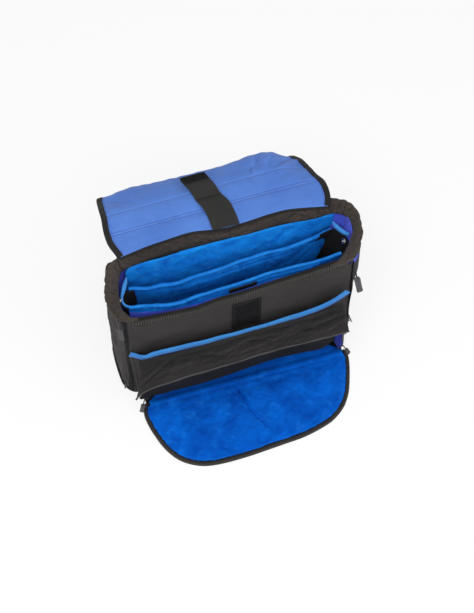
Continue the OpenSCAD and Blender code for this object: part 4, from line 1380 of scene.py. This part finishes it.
def makeFlapGrid(f):
    chain = np.array(f["chain"], float)
    run = runOf(chain)
    before, after = 60, 80  # straight lengths that carry it on past its ends, for the smoothing
    fine = np.arange(-before, 440.5, 0.5)
    ends = [chain[0] - (chain[1] - chain[0]) / run[1] * before,
            chain[-1] + (chain[-1] - chain[-2]) / (run[-1] - run[-2]) * after]
    far = np.concatenate([[-before], run, [run[-1] + after]])
    line = np.stack([np.interp(fine, far, c) for c in np.vstack([ends[0], chain, ends[1]]).T], 1)
    kernel = np.exp(-0.5 * (np.arange(-60, 61) / 16) ** 2)
    line = np.stack([np.convolve(np.pad(c, 60, mode="reflect", reflect_type="odd"),
                                 kernel / kernel.sum(), "valid") for c in line.T], 1)
    v = np.arange(f["cuts"][0], f["cuts"][-1] + 0.1, 3.0)
    v = v[(np.abs(v - 36) > 4.6) & (np.abs(v - 73) > 2.6)]
    v = np.unique(np.concatenate([v, f["cuts"], f["dense"]]))
    u = np.linspace(-1, 1, 130)
    cy, cz = (np.interp(v, fine, c) for c in line.T)
    tangent = unit(np.stack([np.gradient(cy, v), np.gradient(cz, v)], 1))
    tip = np.clip((v - (f["cuts"][-1] - f["corner"])) / f["corner"], 0, 1)
    less = f["corner"] * (1 - np.sqrt(1 - tip**2))
    half = np.where(u[:, None] < 0, through(f["left"], v), through(f["right"], v)) - less
    x = u[:, None] * half
    y = cy + through(f["shear"], v) * x
    left = ease((-u - 0.6) / 0.4)[:, None]
    droop = 4 * left * np.exp(-((v - 120) / 30) ** 2)
    droop = droop - through(f["crown"], x) * np.exp(-((v - 124) / 30) ** 2)
    seams = np.array([-4, 36, 73, 128, 190, 366])
    cell = np.interp(v, seams, np.arange(6)) % 1
    full = 1.5 * np.sin(np.pi * cell) ** 0.7 * np.minimum(1, (1 - np.abs(u[:, None])) / 0.06)
    off = full + folds(x, v, flapFolds) * ease((v - 6) / 20) - droop
    off = off + 0.8 * ripple(x, v * 1.5, 60, 91) * ease(v / 30)
    off = off + 0.35 * ripple(x, v, 19, 92) * ease(v / 30)
    off = off - 5.5 * ease((v - 195) / 60)  # leaves room for the pocket when it is closed
    for seam, depth in ((33.4, 1.2), (38.6, 1.2), (73, 1.8)):
        off = off - depth * np.exp(-((v - seam) / 1.3) ** 2)
    grid = gridOf(x, y - off * tangent[:, 1], cz + off * tangent[:, 0])
    # The right edge curls down, and the root follows the rim and dips behind it
    curl = (ease((u - 0.68) / 0.3)[:, None] ** 1.2) * (1 - ease((v - 195) / 50))
    table = np.array(f["rightEdge"])
    for k in (1, 2):
        grid[..., k] += curl * (through(table[:, [0, k]], np.minimum(v, table[-1, 0]))
                                - (cy, cz)[k - 1])
    grid[..., 1] += (through(f["root"], x) - 55.5) * (1 - ease((v + 4) / 40))
    grid[..., 2] -= 2.2 * (1 - ease((v + 4) / 16))
    return u, v, grid


flapU, flapV, flapGrid = makeFlapGrid(flapSet)
flapNormal = normalsOf(flapGrid)
flapSlices = [("flapRoot", "bag", "flap_top", (57, 281), (69, 283), "flap_top_shell",
               "flap_top_lining"),
              ("flapTop", "flap_top", "flap_bend", (119, 287), (140, 284), "flap_bend_shell",
               "flap_bend_lining"),
              ("flapBend", "flap_bend", "flap_face", (170, 272), (182, 252), "flap_face_shell",
               "flap_face_lining"),
              ("flapTail", "flap_face", "flap_tail", (186, 158), (190, 133), "flap_tail_shell",
               "flap_tail_lining")]


def flapPoint(uAt, vAt, lift):
    # Points and normals on the flap at (u, v), lifted off its middle
    def pick(table):
        (a, fa), (b, fb) = (cell(uAt, flapU), cell(vAt, flapV))
        return ((1 - fa) * (1 - fb) * table[a, b] + fa * (1 - fb) * table[a + 1, b]
                + (1 - fa) * fb * table[a, b + 1] + fa * fb * table[a + 1, b + 1])

    def cell(at, lines):
        where = np.clip(np.interp(at, lines, np.arange(len(lines))), 0, len(lines) - 1.001)
        return where.astype(int), (where - where.astype(int))[:, None]
    n = unit(pick(flapNormal))
    return pick(flapGrid) + n * lift, n


def smoothed(rows, reach):  # each row becomes the mean of its neighbours
    kernel = np.ones(2 * reach + 1) / (2 * reach + 1)
    columns = [np.convolve(np.pad(c, reach, mode="edge"), kernel, "valid") for c in rows.T]
    return np.stack(columns, 1)


def makeFlap(f):
    cuts, close = f["cuts"], 1e-6
    rowsOf = [slice(int(np.searchsorted(flapV, a - close)),
                    int(np.searchsorted(flapV, b - close)) + 1)
              for a, b in zip(cuts, cuts[1:])]
    # Binding round both sides and the free end, as one path
    vs = np.unique(np.concatenate([np.arange(cuts[0], cuts[-1] + 0.01, 3.0), cuts]))
    us = np.linspace(-1, 1, 90)
    uPath = np.concatenate([-np.ones(len(vs)), us[1:-1], np.ones(len(vs))])
    vPath = np.concatenate([vs, np.full(len(us) - 2, cuts[-1]), vs[::-1]])
    edge, normal = flapPoint(uPath, vPath, 0)
    normal = unit(smoothed(normal, 5))
    tangent = unit(smoothed(np.gradient(edge, axis=0), 3))
    inward = unit(np.cross(normal, tangent))
    middle = flapPoint(np.zeros(len(uPath)), vPath * 0.9, 0)[0]
    inward *= np.sign(np.sum(inward * (middle - edge), 1))[:, None]
    rings = ringsAlong(edge + inward * 2.6, normal, roundBar(10.5, 7.4, 4.6, 20))
    for k, (name, *join) in enumerate(flapSlices):
        ends, nodes = join[:4], join[4:]
        grid = flapGrid[:, rowsOf[k]]
        piece = panel(name, flapGrid, f["thick"], ["flapLining", "outerNylon", "trimNylon"],
                      rowsOf[k], cutLow=k > 0, cutHigh=k < 3, normal=flapNormal)
        flatSize(grid)
        bend(piece, *ends, *nodes)
        low, high = cuts[k], cuts[k + 1]
        inSlice = (vPath >= low - close) & (vPath <= high + close)
        sides = ((uPath < 0, "Left"), (uPath > 0, "Right")) if k < 3 else ((True, ""),)
        for side, word in sides:
            where = np.nonzero(inSlice & side)[0]
            rows = slice(where[0], where[-1] + 1)
            bend(ringPiece(name + "Binding" + word, rings, "trimNylon", rows), *ends)
        # Rows of stitches across, and one beside each binding
        quilting = [flapPoint(np.linspace(-0.94, 0.94, 140), np.full(140, v), f["thick"] / 2 + 0.1)
                    for v in f["quilting"] if low <= v < high]
        if quilting:
            bend(beads(name + "Quilting", quilting, beadLooks["quilting"], "blueThread"), *ends)
        above = f["thick"] / 2 + 0.2
        vRow = np.arange(max(low, 2), min(high, 326), 3.0)
        rows = []
        for side in (-1, 1):
            half = np.abs(flapPoint(np.full(len(vRow), float(side)), vRow, 0)[0][:, 0])
            rows.append(flapPoint(side * (1 - 9.4 / half), vRow, above))
        if k == 3:
            rows.append(flapPoint(np.linspace(-0.7, 0.7, 90), np.full(90, 356.5), above))
        bend(beads(name + "Stitches", rows, beadLooks["stitch"], "blueThread"), *ends)
    # Dark cord along the seam between the lining and the rim
    xs = np.linspace(-170, 160, 130)
    cord = np.stack([xs, through(f["root"], xs) - 5.2, 276.4 + 0.4 * np.sin(xs / 11)], 1)
    strand("flapRootCord", cord, (3.8, 3.8, 2, 12), "trimNylon")


makeFlap(flapSet)
print("flap made")

# Strap on the flap's lining, its end folded back on itself
# parts: the turned end lies on the stretch below it
strapSet = {"width": 45,
            "thick": 2.2,
            "cuts": (-6, 27, 82, 154),
            "parts": [("strapRoot", "bag", "strap_root", (57, 284), (67, 285), "strap_root"),
                      ("strapBend", "strap_root", "strap_end", (104, 292), (117, 293), "strap_end"),
                      ("strapTurn", "strap_end", "strap_tail", (158, 293.6), (158, 296.4),
                       "strap_tail")],
            "side": [(-8, 7), (0, 6.5), (14, 5.5), (36, 2), (55, -6), (67, -9), (82, -12.5),
                     (100, -19.5), (108, -20.5), (122, -15), (138, -10), (160, -6.5)]}
strapLine = [(50.5, 283.0), (57, 284.4), (80, 288.8), (104, 292.4), (112, 293.0), (134, 292.8),
             (151, 292.4), (157, 292.6), (159.4, 294.9), (157, 297.3), (147, 297.5), (134, 297.0),
             (116, 296.6), (110, 296.2)]


def makeStrap(s):
    line = lineThrough(strapLine, 1.5)
    run = runOf(line) - 6.8
    cuts = [int(np.argmin(np.abs(run - c))) for c in s["cuts"]]
    cuts[0], cuts[-1] = 0, len(line) - 1
    u = np.linspace(-1, 1, 26)[:, None]
    centre = through(s["side"], run)
    x = centre + u * s["width"] / 2 * (1 - 0.07 * ease((run - 40) / 30))
    y = line[:, 0] + 0.02 * (x - centre) * ease((run - 20) / 60)
    z = line[:, 1] + 0.35 * np.sin(run / 13) + 0.5 * u**2 * np.sin(run / 20)
    grid = gridOf(x, y, z)
    normal = normalsOf(grid)
    for k, (name, *join) in enumerate(s["parts"]):
        rows = slice(cuts[k], cuts[k + 1] + 1)
        piece = panel(name, grid, s["thick"], ["webbing"], rows, cutLow=k > 0, cutHigh=k < 2,
                      normal=normal)
        flatSize(grid[:, rows])
        bend(piece, *join)
    # Hook pad on the turned end
    px, py = np.meshgrid(np.linspace(-22.5, 20, 20), np.linspace(143, 157, 14), indexing="ij")
    lean = -19.5 + (157 - py) * 0.34
    pad = gridOf(px + lean, py + px * 0.02, 299.2 + 0.2 * np.sin(px / 5))
    hold(panel("strapHookPad", pad, 1.3, ["loopPile"]), "strap_tail", "strap_hook_pad")
    t = np.linspace(-19, 19, 30)
    seams = [gridOf(t + off, y + t * 0.02, 298.6) for off, y in ((-8, 113.5), (-10.5, 130.5))]
    sewn("strapSeams", seams, (0, 0, 1), body="strap_tail")


makeStrap(strapSet)
print("strap made")

# Side zips, sliders and pulls
zipSet = {"y": -42,
          "low": 14,
          "high": 234,
          "sliders": {"upper": {-1: 226.0, 1: 196.0}, "lower": {-1: 22.0, 1: 42.0}},
          "leans": {"upper": {-1: (0.02, -0.35, -0.93), 1: (0.06, -0.6, -0.8)},
                    "lower": {-1: (-0.2, -0.2, -1), 1: (0.3, -0.2, -1)},
                    "door": {-1: (-0.47, -0.78, -0.41), 1: (0.4, -0.5, -0.7)}},
          "tags": {"upper": {-1: (10, 25, (-0.6, -0.6, 0.5)), 1: (11.5, 28, (0.1, -0.8, 0.6))},
                   "door": {-1: (8, 15, (-0.3, -0.4, 0.9)), 1: (8, 12, (0.3, -0.5, 0.8))}},
          "sway": {-1: [(0, 0), (24, 0), (60, -2), (110, 5), (150, 4), (190, -1), (222, 0),
                        (240, 0)],
                   1: [(0, 0), (42, 0), (100, 2), (150, -2), (196, 0), (240, 0)]}}


def makeSideZips(z):
    for side, name in bothSides:
        zs = np.linspace(z["low"] - 4, z["high"] + 2, 70)[None]
        ys = np.linspace(-54.5, -28, 14)[:, None]
        sway = through(z["sway"][side], zs)
        turned = np.clip((-50 - ys) / 4.5, 0, 1)
        x = side * (199.0 - 2.6 * turned**2 + 0.5 * np.sin(zs / 21) * (1 - turned))
        tape = gridOf(x, ys + 0.6 * sway, zs)[::side]
        hold(panel(f"{name}ZipTape", tape, 1.3, ["bellowsNylon"]), "bag", f"side_zip_{name}")
        run = np.linspace(z["low"], z["high"] - 2, 90)
        sway = through(z["sway"][side], run)
        line = np.stack([side * (200.3 + 0.5 * np.sin(run / 21)), z["y"] + sway, run], 1)
        out = (side, 0, 0)
        sewn(f"{name}ZipCoil", [line], out, "coil", "coilNylon")
        rows = [line + np.array([side * -0.4, off, 0]) for off in (-7.5, 9.5)]
        sewn(f"{name}ZipStitches", rows, out)
        for k, off in enumerate((-5.6, 5.6)):  # nylon welts that the zip is set between
            strand(f"{name}ZipWelt{k + 1}", line + np.array([side * 0.3, off, 0]),
                   (2.8, 1.3, 2.4, 10), "trimNylon", up=out)


zipFoldSet = {"middle": [(203, -36.6, 205), (206, -35.4, 214), (208, -34.4, 226),
                         (207.5, -34.6, 238)],
              "across": (0.91, 0.42, 0.0), "out": (0.42, -0.91, 0), "thick": 1.0,
              "teeth": (2.4, 1.8, 2, 10)}


def makeZipFold(z):
    # Above its slider the right zip is open: its lining shows between the two rows of teeth
    middle = lineThrough(z["middle"], 1.2)
    t = np.linspace(0, 1, len(middle))
    across = np.array(z["across"])
    half = 2.6 + 4.2 * np.sin(np.pi * t * 0.8) ** 0.8
    u = np.linspace(-1, 1, 9)[:, None, None]
    cloth("rightZipLining", middle[None] + u * half[None, :, None] * across, z["thick"],
          ["innerLining"], "folded", "bodyWalls")
    for k, side in enumerate((-1, 1)):
        edge = middle + side * (half[:, None] + 0.9) * across + np.array([0.2, -0.6, 0])
        strand(f"rightZipEdge{k + 1}", edge, z["teeth"], "coilNylon", up=z["out"])


def sliderMesh(name, centre, side):
    # A slider that faces along X: shaped plate, crown, bridge with an opening for the pull
    cx, cy, cz = centre

    def part(tag, x, y, z, up, bar, size=None):
        rings = ringsAlong(gridOf(x, y, z), up, roundBar(*bar), size)
        return ringPiece(name + tag, rings, "darkZinc")
    t = np.linspace(-1, 1, 15)
    size = 0.78 + 0.22 * np.cos(t * 1.3) - 0.2 * (t > 0.8)
    parts = [part("Body", cx + side * 1.6, cy, cz + t * 6.5, (side, 0, 0), (9, 3.2, 3.4, 18), size)]
    a = np.linspace(0, np.pi, 15)
    for off in (-1, 1):
        parts.append(part(f"Ear{off + 2}", cx + side * (2.6 + 3.4 * np.sin(a)), cy + off * 3.9,
                          cz + 3.2 * np.cos(a), (0, 1, 0), (1.5, 1.5, 2.4, 8)))
    return joined(name, parts)


def pullMesh(name, pin, side, tag, lean):
    # Pin, ring-ended tongue, and where there is a tag, a cord loop that it hangs on.
    # tag: its width, length and facing. lean: direction that the pull hangs in
    middle = np.array(pin)
    a = np.linspace(0, 2 * np.pi, 33)
    down = unit(np.array(lean, float))
    flat = unit(np.cross(down, [side, 0, 0]))  # across the pull
    face = unit(np.cross(flat, down))

    def part(tag, path, up, bar, material="darkZinc", size=None):
        return ringPiece(name + tag, ringsAlong(path, up, roundBar(*bar), size), material)

    def hang(across, below):
        return middle + across[:, None] * flat + below[:, None] * down
    pinLine = middle + np.linspace(-4.6, 4.6, 9)[:, None] * np.array([0, 1, 0])
    loop = hang((2.6 + 0.5 * np.cos(a)) * np.sin(a), 6.2 - 6.0 * np.cos(a))
    parts = [part("Pin", pinLine, (0, 0, 1), (1.7, 1.7, 2, 10)),
             part("Tongue", loop, face, (1.7, 1.8, 2.6, 8))]
    if tag:
        width, long, facing = tag
        cord = hang(2.0 * np.sin(a), 15 - 5.2 * np.cos(a))
        t = np.linspace(0, 1, 17)
        size = np.interp(t, [0, 0.08, 0.2, 0.9, 1], [0.6, 0.9, 1, 1, 0.82])
        size = size * (1 - 0.12 * (np.sin(t * 52) > 0.2) * (t > 0.25) * (t < 0.85))
        parts += [part("Loop", cord, face, (1.6, 1.6, 2, 8), "coilNylon"),
                  part("Tag", hang(0 * t, 13 + long * t), unit(np.array(facing)),
                       (width, 3.4, 4, 18), "tagRubber", size)]
    return joined(name, parts)


def makeSliders(z):
    for side, name in bothSides:
        for level, x, pin, y, height, body, end in (
                ("upper", 201.2, 206.5, z["y"], z["sliders"]["upper"][side], None, f"{name}_upper"),
                ("lower", 201.2, 206.5, z["y"], z["sliders"]["lower"][side], None, f"{name}_lower"),
                ("door", 175.3, 180.7, -76.5, 20, "bag", name)):
            kind, word = ("door_" if body else ""), name + level.title()
            slider, pull = f"{kind}slider_{end}", f"{kind}pull_{end}"
            hold(sliderMesh(word + "Slider", (side * x, y, height), side), body or slider, slider)
            tag, lean = z["tags"].get(level, {}).get(side), z["leans"][level][side]
            hold(pullMesh(word + "Pull", (side * pin, y, height), side, tag, lean), pull, pull)


makeSideZips(zipSet)
makeZipFold(zipFoldSet)
makeSliders(zipSet)
print("zips made")

# Floor and light
lightSet = {"world": 0.55,
            "floor": (0.93, 0.93, 0.93),
            "glow": 0.78,
            "half": 6.0,
            "lamps": [("keyLight", 34, 1.5, (-0.6, -1.1, 2.2)),
                      ("fillLight", 12, 1.4, (1.1, -1.5, 1.6))]}


def seenRays(tree):  # 1 for the rays that show the scene, 0 for those that light it
    rays = node(tree, "ShaderNodeLightPath").outputs
    first = calc(tree, "MAXIMUM", rays["Is Camera Ray"], rays["Is Glossy Ray"])
    return calc(tree, "MAXIMUM", first, rays["Is Transmission Ray"])


def makeStudio(s):
    world = bpy.data.worlds.new("studio")
    scene.world = world
    world.use_nodes = True
    tree = world.node_tree
    tree.nodes.clear()
    strength = plus(tree, s["world"], times(tree, seenRays(tree), 1 - s["world"]))
    sky = node(tree, "ShaderNodeBackground", {"Color": (1, 1, 1, 1), "Strength": strength})
    node(tree, "ShaderNodeOutputWorld", {0: sky.outputs[0]})
    for name, power, size, place in s["lamps"]:
        data = bpy.data.lights.new(name, "AREA")
        data.energy, data.size = power, size
        lamp = bpy.data.objects.new(name, data)
        lamp.location = place
        lamp.rotation_mode = "QUATERNION"
        aim = Vector((0, -0.03, 0.12)) - Vector(place)
        lamp.rotation_quaternion = aim.to_track_quat("-Z", "Y")
        scene.collection.objects.link(lamp)
    half = s["half"]
    mesh = bpy.data.meshes.new("floor")
    corners = [(x * half, y * half, -0.0004) for x, y in ((-1, -1), (1, -1), (1, 1), (-1, 1))]
    mesh.from_pydata(corners, [], [(0, 1, 2, 3)])
    floor = bpy.data.objects.new("floor", mesh)
    scene.collection.objects.link(floor)
    material = bpy.data.materials.new("paleFloor")
    material.use_nodes = True
    tree = material.node_tree
    shader = tree.nodes["Principled BSDF"]
    plug(tree, shader, {"Base Color": (*s["floor"], 1), "Roughness": 0.9,
                        "Specular IOR Level": 0.1})
    white = node(tree, "ShaderNodeEmission", {"Color": (1, 1, 1, 1), "Strength": 1.0})
    seen = times(tree, seenRays(tree), s["glow"])
    both = node(tree, "ShaderNodeMixShader", {0: seen, 1: shader.outputs[0], 2: white.outputs[0]})
    tree.links.new(both.outputs[0], tree.nodes["Material Output"].inputs[0])
    mesh.materials.append(material)


makeStudio(lightSet)
print("studio made")
